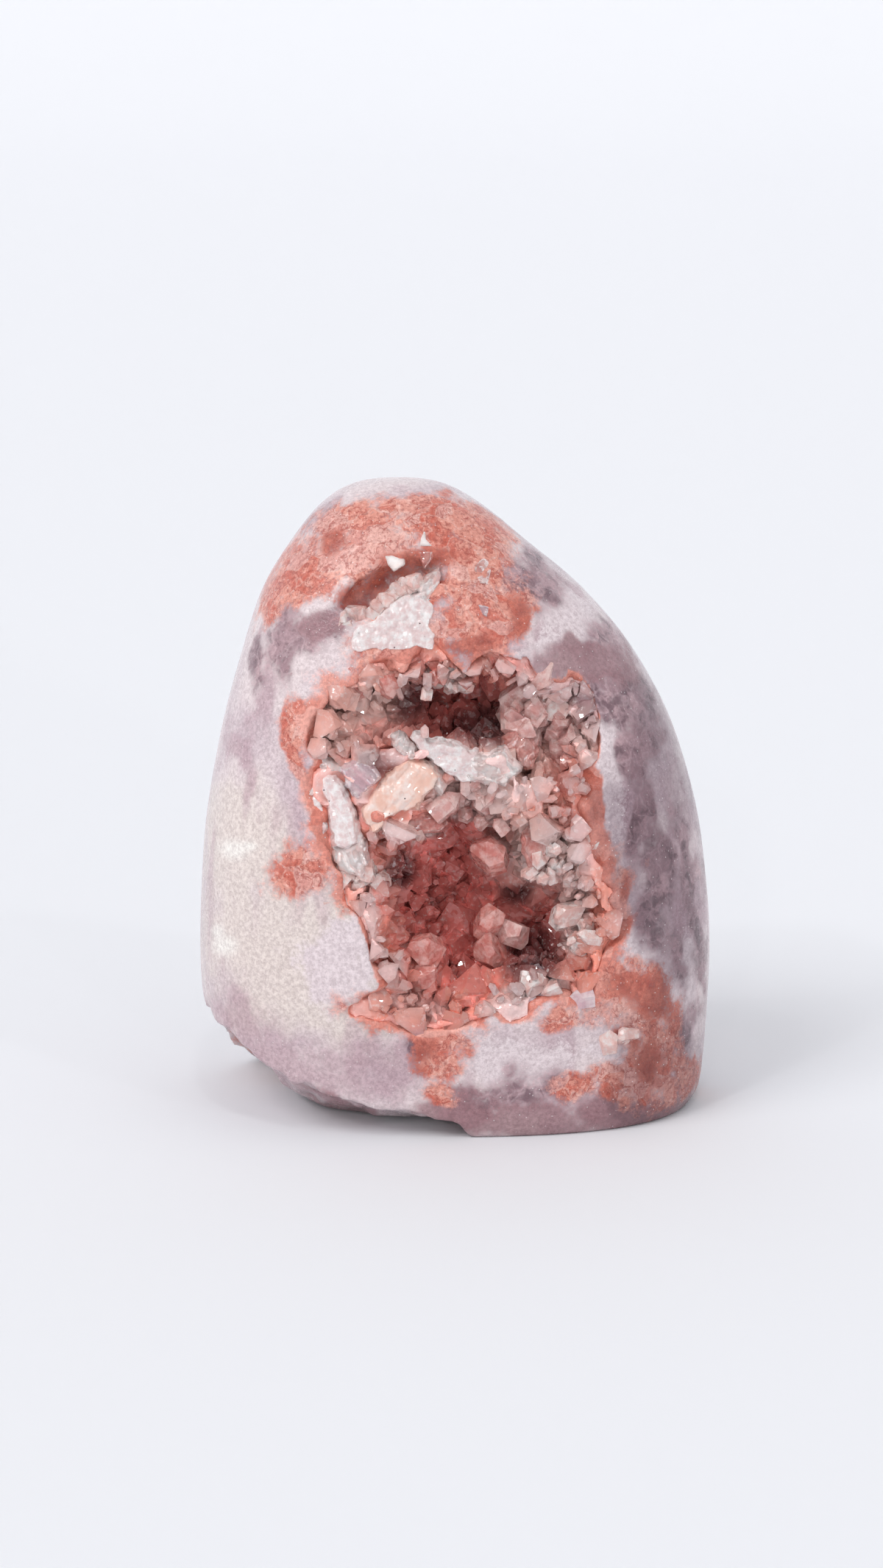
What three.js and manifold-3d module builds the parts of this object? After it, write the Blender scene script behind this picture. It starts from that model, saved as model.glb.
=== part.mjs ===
// A pink amethyst freeform: one polished stone that stands on its cut base, with an open hollow
// in its front face, and the crust of quartz crystals that lines the hollow.
// Millimetres, +Z up. The hollow faces -Y. The origin is the middle of the base.
import * as THREE from "three";
import Module from "manifold-3d";
import { mergeVertices } from "three/addons/utils/BufferGeometryUtils.js";

const wasm = await Module();
wasm.setup();

// Driving dimensions of the stone
const height = 104;
const crownX = -9; // the crown stands left of the middle
const footX = -6; // where the front bulges most at the base
const middleY = 1; // depth at which the stone is widest
const leftPower = 2.5; // section exponents: 2 is an ellipse, higher is squarer
const rightPower = 2.15;
const footSquareness = 0.55; // the right half is squarer near the base
const footZone = 30; // height over which that fades

// Outline at a few heights: [height, left, right, front, back]
const outline = [
  [104, -9, -9, 1, 1],
  [103, -16.6, -1.8, -5.5, 7.5],
  [100, -21.6, 3.8, -11, 12.5],
  [94, -26.6, 11.2, -16, 17.5],
  [85.5, -31.7, 21.2, -20.5, 22],
  [75, -35.2, 29.8, -24, 25],
  [61, -38.9, 36.8, -27, 27.5],
  [43, -41.7, 41.2, -29, 29],
  [25, -42.5, 42.7, -28.5, 28.5],
  [10, -41.5, 42, -26.8, 26.5],
  [3, -41, 41.2, -26.4, 25.5],
  [0, -39.5, 39.6, -25.6, 24],
];

// The base is broken away at the front left, so it rises there to a rough rim
const rimHeight = 3.6; // of the rim at the middle of the front
const rimCurve = 0.0082; // it climbs with the square of the distance to the left
const rimEnd = { from: -0.5, to: 3 }; // x where the flat base starts again
const rimBack = { from: 2, to: 20 }; // y over which the break fades out
const flatShare = 0.5; // the share of the section that stays flat

// Lobes of the hollow: the middle, the radii along x, y and z, and a turn in degrees that
// lifts the lobe's right end
const lobes = [
  { name: "grotto", at: [1, -19, 69.5], radii: [15.5, 17, 9.5], turn: 0 },
  { name: "left alcove", at: [-14.5, -23.5, 68.5], radii: [9.5, 8, 7.5], turn: 30 },
  { name: "right branch", at: [14, -20, 66], radii: [9, 9.5, 10], turn: 0 },
  { name: "bridge recess", at: [0, -29, 59], radii: [18, 8, 9.5], turn: 0 },
  { name: "column groove", at: [-17, -28, 54], radii: [5.5, 6, 13], turn: 15 },
  { name: "bowl", at: [2, -25, 40.5], radii: [17, 18, 19], turn: 0 },
  { name: "deep pocket", at: [13, -21, 35], radii: [9.5, 15, 11.5], turn: 0 },
  { name: "right slope", at: [17.5, -25, 52], radii: [6, 6.5, 12.5], turn: 0 },
  { name: "low right slope", at: [20.5, -24.5, 34], radii: [7, 6.5, 8.5], turn: 0 },
  { name: "shelf", at: [-2, -28.5, 25], radii: [13, 6.5, 6], turn: 0 },
];
const lobeDetail = 2;
const crustDetail = 1;

// A shallow recess above the hollow, whose few crystals are one with the stone
const topRecess = { at: [-9, -19.5, 90], radii: [10, 5.5, 3.8], turn: 20 };
const ledgeCrystals = [
  { name: "ledge blade", root: [-8, -17.5, 84.5], tip: [-2.6, -17, 92], width: 7.5, depth: 3.4 },
  { name: "ledge tooth", root: [-11, -18, 84.5], tip: [-9, -18.5, 89.4], width: 5, depth: 3.2 },
  { name: "ledge glint", root: [-15.5, -17, 83.5], tip: [-16.8, -18.6, 88.2], width: 5, depth: 3 },
];

const seam = 0.15; // half the gap between the stone and its crust
const crustThickness = 1.8;
const lip = 1.5; // the crust starts this far below the polished surface

// Large crystals of the crust: root, tip, width across the front and thickness
const largeCrystals = [
  { name: "column", root: [-21, -24, 66.5], tip: [-14.4, -28.7, 44], width: 7.2, depth: 4.6 },
  { name: "column foot", root: [-20.5, -25, 52], tip: [-16.5, -28.8, 40.5], width: 6, depth: 4 },
  { name: "fan", root: [-21.5, -22, 59.5], tip: [-10.5, -26.5, 61], width: 6.5, depth: 3.6 },
  { name: "peach blade", root: [-4.5, -21, 66.5], tip: [-13.8, -28.4, 50.8], width: 10, depth: 5 },
  { name: "bridge arm", root: [-9, -22, 67.5], tip: [12.5, -26, 61], width: 7.5, depth: 5 },
  { name: "bridge spur", root: [-5, -22, 63], tip: [-9, -25.5, 69], width: 4.4, depth: 3 },
  { name: "bridge back", root: [-6, -20, 59], tip: [8.5, -26.5, 55.5], width: 7, depth: 4.5 },
  { name: "right lens", root: [21, -13, 74], tip: [10, -21.5, 70], width: 8, depth: 4 },
  { name: "bowl lens", root: [-13, -23, 31], tip: [-2.5, -28.2, 31.5], width: 8.5, depth: 3.6 },
  { name: "right shard", root: [18, -17.5, 58], tip: [15.5, -26, 44.5], width: 9, depth: 4.5 },
  { name: "round crystal", root: [23, -18, 37], tip: [17.5, -25.5, 38], width: 5.4, depth: 4.6 },
  { name: "low crystal", root: [11, -21, 18], tip: [9, -27, 25.5], width: 6, depth: 4.5 },
  { name: "bowl crystal", root: [6, -10, 44], tip: [5, -21, 46], width: 8, depth: 7 },
  { name: "deep crystal", root: [-3, -10, 33], tip: [-2, -19, 36], width: 7, depth: 6 },
];
const largeTaper = { root: 0.12, point: 0.3 }; // the shares of its length that taper

// Small crystals of the crust
const smallCrystals = { spacing: 5.5, width: [5, 7.5], length: [3.8, 6], lean: 0.7, seed: 7 };
const rootDepth = 0.5; // how deep a small crystal is rooted in the crust
const triesPerArea = 40;
const mouthShare = 0.95; // no small crystal starts further out of the section than this
const openShare = 0.93; // a place this deep in another lobe is in the open

const sides = 6;
const skewness = 0.35; // how far a crystal's tip may be off its axis, by its width
const rootSize = 0.82; // a large crystal is this much narrower at its root
const zigzag = 0.12; // every other side starts to taper this much earlier, by its width
const segments = 44;
const rings = 19;
const underRings = 3;
const chipping = 1.1; // how far the broken rim goes up and down
const seeds = { chips: 5, crust: 3, ledge: 4 };
const weld = 1e-4; // points nearer than this are one point

// Random numbers that are the same on every run
function randomNumbers(seed) {
  let state = seed;
  return () => {
    state = (state + 0x6d2b79f5) | 0;
    let t = Math.imul(state ^ (state >>> 15), 1 | state);
    t = (t + Math.imul(t ^ (t >>> 7), 61 | t)) ^ t;
    return ((t ^ (t >>> 14)) >>> 0) / 2 ** 32;
  };
}

function smooth(t) {
  const s = Math.min(1, Math.max(0, t));
  return s * s * (3 - 2 * s);
}

// A height as the share along a dome: 0 at the crown and 1 at the base
function share(z) {
  return Math.sqrt(Math.max(0, 1 - z / height));
}

// Monotone cubic curve through one column of the outline, over the dome's share
function outlineCurve(column) {
  const xs = outline.map((row) => share(row[0]));
  const ys = outline.map((row) => row[column]);
  const count = xs.length - 1;
  const step = xs.slice(1).map((x, i) => x - xs[i]);
  const slope = step.map((h, i) => (ys[i + 1] - ys[i]) / h);
  const tangent = slope.map((after, i) => {
    const before = slope[i - 1];
    if (i === 0) return after;
    if (before * after <= 0) return 0;
    const w1 = 2 * step[i] + step[i - 1];
    const w2 = step[i] + 2 * step[i - 1];
    return (w1 + w2) / (w1 / before + w2 / after);
  });
  tangent.push(slope[count - 1]);
  return (x) => {
    let i = 0;
    while (i < count - 1 && x > xs[i + 1]) i++;
    const h = step[i];
    const t = (x - xs[i]) / h;
    const near = (1 + 2 * t) * (1 - t) ** 2 * ys[i] + t * (1 - t) ** 2 * h * tangent[i];
    const far = t * t * (3 - 2 * t) * ys[i + 1] + t * t * (t - 1) * h * tangent[i + 1];
    return near + far;
  };
}

const [leftAt, rightAt, frontAt, backAt] = [1, 2, 3, 4].map(outlineCurve);

function spineX(z) {
  return crownX + (footX - crownX) * (1 - z / height);
}

function rightPowerAt(z) {
  return rightPower + footSquareness * smooth((footZone - z) / footZone);
}

// Height of the broken underside at a place whose section share is v, 1 at the outline
function undersideHeight(x, y, v) {
  const rim = rimHeight + rimCurve * x * x;
  const toLeft = smooth((rimEnd.to - x) / (rimEnd.to - rimEnd.from));
  const toFront = smooth((rimBack.to - y) / (rimBack.to - rimBack.from));
  return rim * toLeft * toFront * smooth((v - flatShare) / (1 - flatShare));
}

// A point of the section at height z, at an angle and a share of the way out
function sectionPoint(z, angle, v) {
  const u = share(z);
  const c = Math.cos(angle);
  const s = Math.sin(angle);
  const power = c < 0 ? leftPower : rightPowerAt(z);
  const halfX = c < 0 ? spineX(z) - leftAt(u) : rightAt(u) - spineX(z);
  const halfY = s < 0 ? middleY - frontAt(u) : backAt(u) - middleY;
  return [
    spineX(z) + v * halfX * Math.sign(c) * Math.abs(c) ** (2 / power),
    middleY + v * halfY * Math.sign(s) * Math.abs(s) ** (2 / power),
  ];
}

// How far out of the stone's section a point is: below 1 it is inside
function sectionShare(x, y, z) {
  if (z <= 0 || z >= height) return 2;
  const u = share(z);
  const dx = x - spineX(z);
  const dy = y - middleY;
  const power = dx < 0 ? leftPower : rightPowerAt(z);
  const halfX = dx < 0 ? spineX(z) - leftAt(u) : rightAt(u) - spineX(z);
  const halfY = dy < 0 ? middleY - frontAt(u) : backAt(u) - middleY;
  return (Math.abs(dx / halfX) ** power + Math.abs(dy / halfY) ** power) ** (1 / power);
}

// The broken underside at one place, chipped up and down
function chippedHeight(x, y, v, random) {
  const smoothHeight = undersideHeight(x, y, v);
  const chip = chipping * smooth(smoothHeight / chipping) * (2 * random() - 1);
  return Math.max(0, smoothHeight + chip);
}

// The whole stone before it is hollowed, as rings from the crown to the base and in to its middle
function stoneGeometry() {
  const random = randomNumbers(seeds.chips);
  const points = [[crownX, middleY, height]];
  const feet = [];
  for (let i = 0; i < segments; i++) {
    feet.push(chippedHeight(...sectionPoint(0, (i / segments) * 2 * Math.PI, 1), 1, random));
  }
  for (let ring = 1; ring <= rings; ring++) {
    for (let i = 0; i < segments; i++) {
      const angle = (i / segments) * 2 * Math.PI;
      const u = (ring / rings) * share(feet[i]);
      const z = height * (1 - u * u);
      points.push([...sectionPoint(z, angle, 1), z]);
    }
  }
  for (let ring = 1; ring <= underRings; ring++) {
    const v = 1 - (ring / underRings) * (1 - flatShare);
    for (let i = 0; i < segments; i++) {
      const [x, y] = sectionPoint(0, (i / segments) * 2 * Math.PI, v);
      points.push([x, y, chippedHeight(x, y, v, random)]);
    }
  }
  points.push([spineX(0), middleY, 0]);
  const last = points.length - 1;
  const faces = [];
  const vertex = (ring, i) => 1 + ring * segments + (i % segments);
  const inner = rings + underRings - 1;
  for (let i = 0; i < segments; i++) {
    faces.push(0, vertex(0, i), vertex(0, i + 1));
    faces.push(last, vertex(inner, i + 1), vertex(inner, i));
  }
  for (let ring = 0; ring < inner; ring++) {
    for (let i = 0; i < segments; i++) {
      const [a, b] = [vertex(ring, i), vertex(ring, i + 1)];
      const [c, d] = [vertex(ring + 1, i), vertex(ring + 1, i + 1)];
      faces.push(a, c, d, a, d, b);
    }
  }
  const geometry = new THREE.BufferGeometry();
  geometry.setAttribute("position", new THREE.Float32BufferAttribute(points.flat(), 3));
  geometry.setIndex(faces);
  return geometry;
}

// A lobe of the hollow, with its wall moved in by a distance
function lobeGeometry({ at, radii, turn }, inset, detail = lobeDetail) {
  const geometry = new THREE.IcosahedronGeometry(1, detail);
  geometry.scale(...radii.map((r) => r - inset));
  geometry.rotateY(-THREE.MathUtils.degToRad(turn));
  geometry.translate(...at);
  return geometry;
}

// How far out of a lobe a point is: below 1 it is inside
function lobeShare({ at, radii, turn }, point) {
  const offset = new THREE.Vector3(...point).sub(new THREE.Vector3(...at));
  offset.applyAxisAngle(new THREE.Vector3(0, 1, 0), THREE.MathUtils.degToRad(turn));
  return offset.divide(new THREE.Vector3(...radii)).length();
}

// A six-sided crystal that stands on the origin along +Z
function crystalGeometry(width, depth, length, taper, random) {
  const skew = skewness * width * (random() - 0.5);
  const rootRing = { z: taper.root * length, size: rootSize, step: 0 };
  const pointRing = { z: (1 - taper.point) * length, size: 1, step: zigzag * width };
  const points = [];
  for (const { z, size, step } of [rootRing, pointRing]) {
    for (let i = 0; i < sides; i++) {
      const angle = (i / sides) * 2 * Math.PI;
      const x = (Math.cos(angle) * size * width) / 2;
      const y = (Math.sin(angle) * size * depth) / 2;
      points.push([x, y, z - step * (i % 2)]);
    }
  }
  points.push([skew, 0, length], [0, 0, 0]);
  const [tip, root] = [2 * sides, 2 * sides + 1];
  const faces = [];
  for (let i = 0; i < sides; i++) {
    const j = (i + 1) % sides;
    faces.push(root, j, i, i, j, sides + j, i, sides + j, sides + i, sides + i, sides + j, tip);
  }
  const geometry = new THREE.BufferGeometry();
  geometry.setAttribute("position", new THREE.Float32BufferAttribute(points.flat(), 3));
  geometry.setIndex(faces);
  return geometry;
}

// The six-sided point of a crystal whose prism is inside the crust
function pointGeometry(width, length, random) {
  const geometry = new THREE.ConeGeometry(width / 2, length, sides, 1, false);
  geometry.rotateX(Math.PI / 2);
  geometry.translate(0, 0, length / 2);
  const { position } = geometry.attributes;
  const skew = skewness * width * (random() - 0.5);
  for (let i = 0; i < position.count; i++) {
    if (position.getZ(i) > length / 2) position.setX(i, skew);
  }
  return geometry;
}

// Puts a geometry that stands along +Z between two points, its width across the front
function placed(geometry, from, to, turn) {
  const along = new THREE.Vector3(...to).sub(new THREE.Vector3(...from)).normalize();
  const endOn = Math.abs(along.y) > 0.9;
  const facing = endOn ? new THREE.Vector3(0, 0, 1) : new THREE.Vector3(0, -1, 0);
  const across = new THREE.Vector3().crossVectors(facing, along).normalize();
  const thick = new THREE.Vector3().crossVectors(along, across);
  geometry.rotateZ(turn);
  geometry.applyMatrix4(new THREE.Matrix4().makeBasis(across, thick, along));
  geometry.translate(...from);
  return geometry;
}

function solidOf(geometry) {
  const bare = geometry.clone();
  bare.deleteAttribute("normal");
  bare.deleteAttribute("uv");
  const merged = mergeVertices(bare, weld);
  const mesh = new wasm.Mesh({
    numProp: 3,
    vertProperties: new Float32Array(merged.attributes.position.array),
    triVerts: new Uint32Array(merged.index.array),
  });
  return new wasm.Manifold(mesh);
}

function geometryOf(solid) {
  const mesh = solid.getMesh();
  const geometry = new THREE.BufferGeometry();
  geometry.setAttribute("position", new THREE.BufferAttribute(mesh.vertProperties, 3));
  geometry.setIndex(new THREE.BufferAttribute(mesh.triVerts, 1));
  geometry.computeVertexNormals();
  return geometry;
}

function joined(solids) {
  return solids.reduce((all, solid) => all.add(solid));
}

// Places on the hollow's wall, evenly spaced, each with the way into the hollow
function wallPlaces(spacing, random) {
  const places = [];
  for (const lobe of lobes) {
    const tries = Math.round((triesPerArea * Math.max(...lobe.radii) ** 2) / spacing ** 2);
    for (let i = 0; i < tries; i++) {
      const cosine = 2 * random() - 1;
      const around = 2 * Math.PI * random();
      const sine = Math.sqrt(1 - cosine * cosine);
      const ray = new THREE.Vector3(sine * Math.cos(around), sine * Math.sin(around), cosine);
      const radii = new THREE.Vector3(...lobe.radii);
      const back = new THREE.Vector3(0, 1, 0);
      const turn = -THREE.MathUtils.degToRad(lobe.turn);
      const offset = ray.clone().multiply(radii).applyAxisAngle(back, turn);
      const inward = ray.clone().divide(radii).negate().applyAxisAngle(back, turn).normalize();
      const middle = new THREE.Vector3(...lobe.at);
      const point = offset.add(middle).addScaledVector(inward, crustThickness).toArray();
      const open = lobes.some((other) => other !== lobe && lobeShare(other, point) < openShare);
      const near = places.some((p) => Math.hypot(...p.point.map((q, k) => q - point[k])) < spacing);
      if (!open && !near && sectionShare(...point) < mouthShare) places.push({ point, inward });
    }
  }
  return places;
}

function between([low, high], random) {
  return low + (high - low) * random();
}

function smallCrystalSolids() {
  const { spacing, width, length, lean, seed } = smallCrystals;
  const random = randomNumbers(seed);
  return wallPlaces(spacing, random).map(({ point, inward }) => {
    const wide = between(width, random);
    const long = between(length, random) + rootDepth;
    const tilt = [0, 1, 2].map(() => lean * (random() - 0.5));
    const direction = inward.clone().add(new THREE.Vector3(...tilt)).normalize();
    const root = point.map((p, k) => p - direction.getComponent(k) * rootDepth);
    const tip = root.map((p, k) => p + direction.getComponent(k) * long);
    const geometry = pointGeometry(wide, long, random);
    return solidOf(placed(geometry, root, tip, 2 * Math.PI * random()));
  });
}

function crystalSolids(crystals, seed) {
  const random = randomNumbers(seed);
  return crystals.map(({ root, tip, width, depth }) => {
    const length = Math.hypot(...tip.map((t, k) => t - root[k]));
    const geometry = crystalGeometry(width, depth, length, largeTaper, random);
    return solidOf(placed(geometry, root, tip, 0));
  });
}

const block = solidOf(stoneGeometry());

// The block with its skin moved in by about the lip
function innerBlock() {
  const shrunk = stoneGeometry();
  shrunk.computeBoundingBox();
  const size = shrunk.boundingBox.getSize(new THREE.Vector3());
  const middle = shrunk.boundingBox.getCenter(new THREE.Vector3());
  shrunk.translate(-middle.x, -middle.y, -middle.z);
  shrunk.scale(...size.toArray().map((s) => (s - 2 * lip) / s));
  shrunk.translate(...middle.toArray());
  return solidOf(shrunk);
}

function hollow(inset, detail) {
  return joined(lobes.map((lobe) => solidOf(lobeGeometry(lobe, inset, detail))));
}

function stoneSolid() {
  const recessed = block.subtract(solidOf(lobeGeometry(topRecess, 0)));
  const crystals = joined(crystalSolids(ledgeCrystals, seeds.ledge)).intersect(block);
  return recessed.add(crystals).subtract(hollow(-seam));
}

function crustSolid() {
  const room = hollow(seam);
  const shell = room.subtract(hollow(crustThickness, crustDetail));
  const lining = shell.add(joined(smallCrystalSolids())).intersect(innerBlock());
  const large = joined(crystalSolids(largeCrystals, seeds.crust)).intersect(block);
  const pieces = lining.add(large).intersect(room).decompose();
  return pieces.sort((a, b) => b.volume() - a.volume())[0];
}

const finishes = {
  polishedStone: { color: 0xd2bcc2, roughness: 0.3, metalness: 0 },
  salmonQuartz: { color: 0xc4786c, roughness: 0.15, metalness: 0 },
};

function namedMesh(name, solid, finish) {
  const mesh = new THREE.Mesh(geometryOf(solid), new THREE.MeshStandardMaterial(finish));
  mesh.name = name;
  return mesh;
}

const freeform = new THREE.Group();
freeform.name = "amethyst_freeform";
freeform.add(namedMesh("polished_stone", stoneSolid(), finishes.polishedStone));
freeform.add(namedMesh("crystal_crust", crustSolid(), finishes.salmonQuartz));

export default freeform;
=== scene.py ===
import itertools
import math

import bpy
import numpy as np
import openvdb
from mathutils import Matrix, Vector


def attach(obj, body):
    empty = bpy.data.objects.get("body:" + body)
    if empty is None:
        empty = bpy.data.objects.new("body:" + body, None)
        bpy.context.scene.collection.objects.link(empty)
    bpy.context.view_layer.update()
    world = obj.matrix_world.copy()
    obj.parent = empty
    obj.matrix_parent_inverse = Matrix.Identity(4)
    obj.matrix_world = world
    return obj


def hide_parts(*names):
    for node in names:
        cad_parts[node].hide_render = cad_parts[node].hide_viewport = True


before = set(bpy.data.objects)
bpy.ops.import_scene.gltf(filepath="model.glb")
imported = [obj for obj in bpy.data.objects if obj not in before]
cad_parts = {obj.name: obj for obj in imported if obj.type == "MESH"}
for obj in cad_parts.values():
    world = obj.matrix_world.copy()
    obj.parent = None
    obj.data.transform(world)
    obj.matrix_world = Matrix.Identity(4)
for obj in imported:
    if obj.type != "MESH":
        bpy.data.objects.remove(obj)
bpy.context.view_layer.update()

MM = 0.001

# The stone's block: the same outline as the solid's
HEIGHT = 104.0
CROWN_X = -9.0
FOOT_X = -6.0
MIDDLE_Y = 1.0
LEFT_POWER = 2.5
RIGHT_POWER = 2.15
FOOT_SQUARENESS = 0.55
FOOT_ZONE = 30.0

# height, left, right, front, back
OUTLINE = np.array([
    [104, -9, -9, 1, 1],
    [103, -16.6, -1.8, -5.5, 7.5],
    [100, -21.6, 3.8, -11, 12.5],
    [94, -26.6, 11.2, -16, 17.5],
    [85.5, -31.7, 21.2, -20.5, 22],
    [75, -35.2, 29.8, -24, 25],
    [61, -38.9, 36.8, -27, 27.5],
    [43, -41.7, 41.2, -29, 29],
    [25, -42.5, 42.7, -28.5, 28.5],
    [10, -41.5, 42, -26.8, 26.5],
    [3, -41, 41.2, -26.4, 25.5],
    [0, -39.5, 39.6, -25.6, 24],
])

# The rough break under the front left
RIM_HEIGHT = 3.6
RIM_CURVE = 0.0082
RIM_END = (-0.5, 3.0)
RIM_BACK = (2.0, 20.0)
FLAT_SHARE = 0.5

# Lobes of the hollow: middle, radii, and the turn in degrees that lifts the right end
LOBES = {
    "grotto": ((1, -19, 69.5), (15.5, 17, 9.5), 0),
    "left alcove": ((-14.5, -23.5, 68.5), (9.5, 8, 7.5), 30),
    "right branch": ((14, -20, 66), (9, 9.5, 10), 0),
    "bridge recess": ((0, -29, 59), (18, 8, 9.5), 0),
    "column groove": ((-17, -28, 54), (5.5, 6, 13), 15),
    "bowl": ((2, -25, 40.5), (17, 18, 19), 0),
    "deep pocket": ((13, -21, 35), (9.5, 15, 11.5), 0),
    "right slope": ((17.5, -25, 52), (6, 6.5, 12.5), 0),
    "low right slope": ((20.5, -24.5, 34), (7, 6.5, 8.5), 0),
    "shelf": ((-2, -28.5, 25), (13, 6.5, 6), 0),
}
BLADE_RECESS = ((-10, -27, 49), (6, 7, 6), 0)
TOP_RECESS = ((-9, -19.5, 90), (10, 5.5, 3.8), 20)

CELL = 0.55  # of the grid that the rounded shapes are worked out on
GRID_LOW = (-44.5, -31.0, -1.6)
GRID_HIGH = (44.8, 31.2, 106.0)

SEEDS = {"chips": 5, "wall": 11, "skin": 12, "druse": 21, "pits": 31, "back": 41}

# The photo's camera, in millimetres and pixels of the 1200 x 2131 photo
PHOTO_SIZE = (1200, 2131)
PHOTO_FOCAL = 5080
CAMERA_TARGET = (-2.2, 0.0, 53.1)
CAMERA_DISTANCE = 620.0
CAMERA_ELEVATION = math.radians(13)
VIEW_BACK = np.array([0, -math.cos(CAMERA_ELEVATION), math.sin(CAMERA_ELEVATION)])
VIEW_UP = np.array([0, math.sin(CAMERA_ELEVATION), math.cos(CAMERA_ELEVATION)])
EYE = np.array(CAMERA_TARGET) + CAMERA_DISTANCE * VIEW_BACK
SEARCH = 60.0  # how far either side of the target the skin is looked for along a line of sight
SEARCH_STEP = 0.3

# Colour zones of the polished front: middle x, y, radii, and a turn in degrees, in photo pixels.
# Their order sets the noise in their edges, and the last zone is painted shade: the right side darkened, as
# it gets less light
ZONES = {
    "orange": [
        (480, 760, 95, 40, -10), (430, 760, 40, 50, 0), (590, 710, 85, 42, 8), (500, 715, 60, 26, 0),
        (655, 745, 46, 60, 20), (645, 850, 70, 50, -20), (695, 828, 24, 40, 10), (545, 812, 80, 22, -28),
        (375, 812, 24, 44, 20), (480, 955, 66, 50, -30), (425, 985, 30, 26, -30), (404, 1030, 14, 60, -10),
        (404, 1180, 38, 46, 0), (560, 1378, 84, 26, 4), (600, 1425, 40, 44, 0), (830, 1345, 84, 42, 10),
        (828, 1215, 28, 70, 0), (800, 1290, 46, 46, 0), (882, 1450, 42, 66, 0), (765, 1385, 46, 16, 0),
        (550, 880, 70, 20, 0), (470, 1175, 20, 60, 0), (935, 1470, 20, 30, 0), (820, 1470, 60, 26, -20),
        (600, 1490, 24, 16, 0),
    ],
    "violet": [
        (872, 1020, 22, 40, 15), (884, 1130, 20, 80, -4), (890, 1225, 26, 62, 4), (908, 1310, 16, 46, 0),
        (440, 858, 50, 28, -10), (385, 880, 20, 60, 10), (712, 785, 52, 46, 20), (770, 960, 60, 38, 10),
        (850, 950, 36, 36, 30), (935, 1180, 12, 90, -4), (420, 700, 36, 16, -35), (720, 1480, 90, 26, 0),
        (860, 1505, 70, 30, 0), (505, 780, 30, 18, 0), (345, 900, 12, 60, 10), (925, 1400, 20, 46, 0),
        (640, 1500, 40, 30, 0), (575, 1440, 18, 30, 20), (820, 870, 40, 30, 40), (860, 1130, 12, 60, 8),
        (805, 950, 40, 24, 20), (944, 1250, 12, 110, -4),
    ],
    "white": [
        (818, 1090, 44, 104, 0), (832, 1000, 26, 46, 10), (748, 825, 34, 52, 20), (700, 888, 44, 20, -30),
        (632, 833, 14, 28, 0), (700, 1430, 86, 38, 0), (890, 1295, 66, 56, 0), (925, 1350, 34, 34, 0),
        (470, 1300, 70, 70, 0), (440, 930, 44, 34, -20), (775, 860, 26, 44, 30), (842, 1425, 36, 14, 0),
        (600, 690, 60, 14, 0),
    ],
    "cream": [
        (400, 1300, 130, 100, 0), (330, 1150, 60, 100, 0), (480, 1250, 60, 60, 0), (450, 1380, 90, 40, 20),
    ],
    "base": [
        (790, 1522, 200, 34, -2), (640, 1515, 60, 26, 0), (925, 1490, 30, 46, 0), (470, 1500, 60, 14, 20),
        (775, 900, 74, 24, -8), (800, 905, 60, 20, 0), (440, 858, 40, 20, -10),
    ],
    # mauve stone, and on the right lobe and flank painted shade that greys the white there
    "mauve_and_right_shade": [
        (420, 1450, 120, 40, 18), (330, 1400, 60, 40, 30), (360, 940, 24, 50, 10), (330, 1040, 16, 60, 0),
        (825, 1100, 46, 110, 0), (540, 1450, 60, 40, 0), (925, 1200, 30, 160, 0), (760, 840, 30, 50, 20),
    ],
    # rust red, and along the plate's edges painted shade in the crevices and under its overhang
    "red": [
        (528, 803, 74, 18, -27), (470, 815, 30, 14, -10), (700, 838, 16, 30, 10), (600, 890, 50, 12, 0),
        (445, 745, 24, 16, 0), (565, 765, 40, 14, -10), (640, 870, 30, 12, -10), (575, 1425, 14, 30, 20),
        (520, 1385, 40, 8, 0), (840, 1225, 12, 30, 0), (860, 1400, 40, 8, 10), (855, 1345, 56, 26, 10),
        (600, 1396, 46, 12, 0), (885, 1440, 26, 36, 0), (580, 1430, 22, 30, 20),
    ],
    # painted shade on the right side, away from the light
    "painted_right_shade": [
        (905, 1180, 46, 300, -4), (860, 1130, 60, 130, 0), (880, 1460, 70, 80, 0),
    ],
}
SPOTS = [(318, 1155, 17, 12, 10), (305, 1285, 15, 12, 0), (338, 1150, 10, 6, 0), (296, 1266, 8, 8, 0)]

# Colour zones of the hollow's crystals, in the same way
CLEAR = [
    (745, 958, 50, 36, 0), (800, 985, 30, 60, 0), (748, 1165, 46, 34, 0), (783, 1233, 24, 28, 0),
    (786, 1278, 18, 24, 0), (705, 1366, 46, 22, 0), (748, 1345, 34, 20, 0),
    (640, 1085, 60, 26, 0), (490, 915, 24, 12, 0), (610, 922, 20, 8, 0),
    (560, 1125, 44, 12, 0), (665, 1160, 22, 26, 0),
]
LIGHT = [(490, 945, 66, 50, 0), (440, 1000, 40, 30, 0), (700, 1030, 50, 50, 0), (720, 1150, 50, 60, 0)]
# darker crystals, and painted shade in the hollow's deeper pockets
DARK_CRYSTALS_AND_POCKET_SHADE = [
    (660, 990, 60, 26, 0), (745, 990, 24, 14, 0), (520, 1035, 36, 20, 0), (560, 950, 30, 26, 0),
    (726, 1300, 50, 50, 0), (700, 1215, 26, 16, 0), (800, 955, 18, 10, 0), (540, 1180, 24, 24, 0),
]

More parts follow.
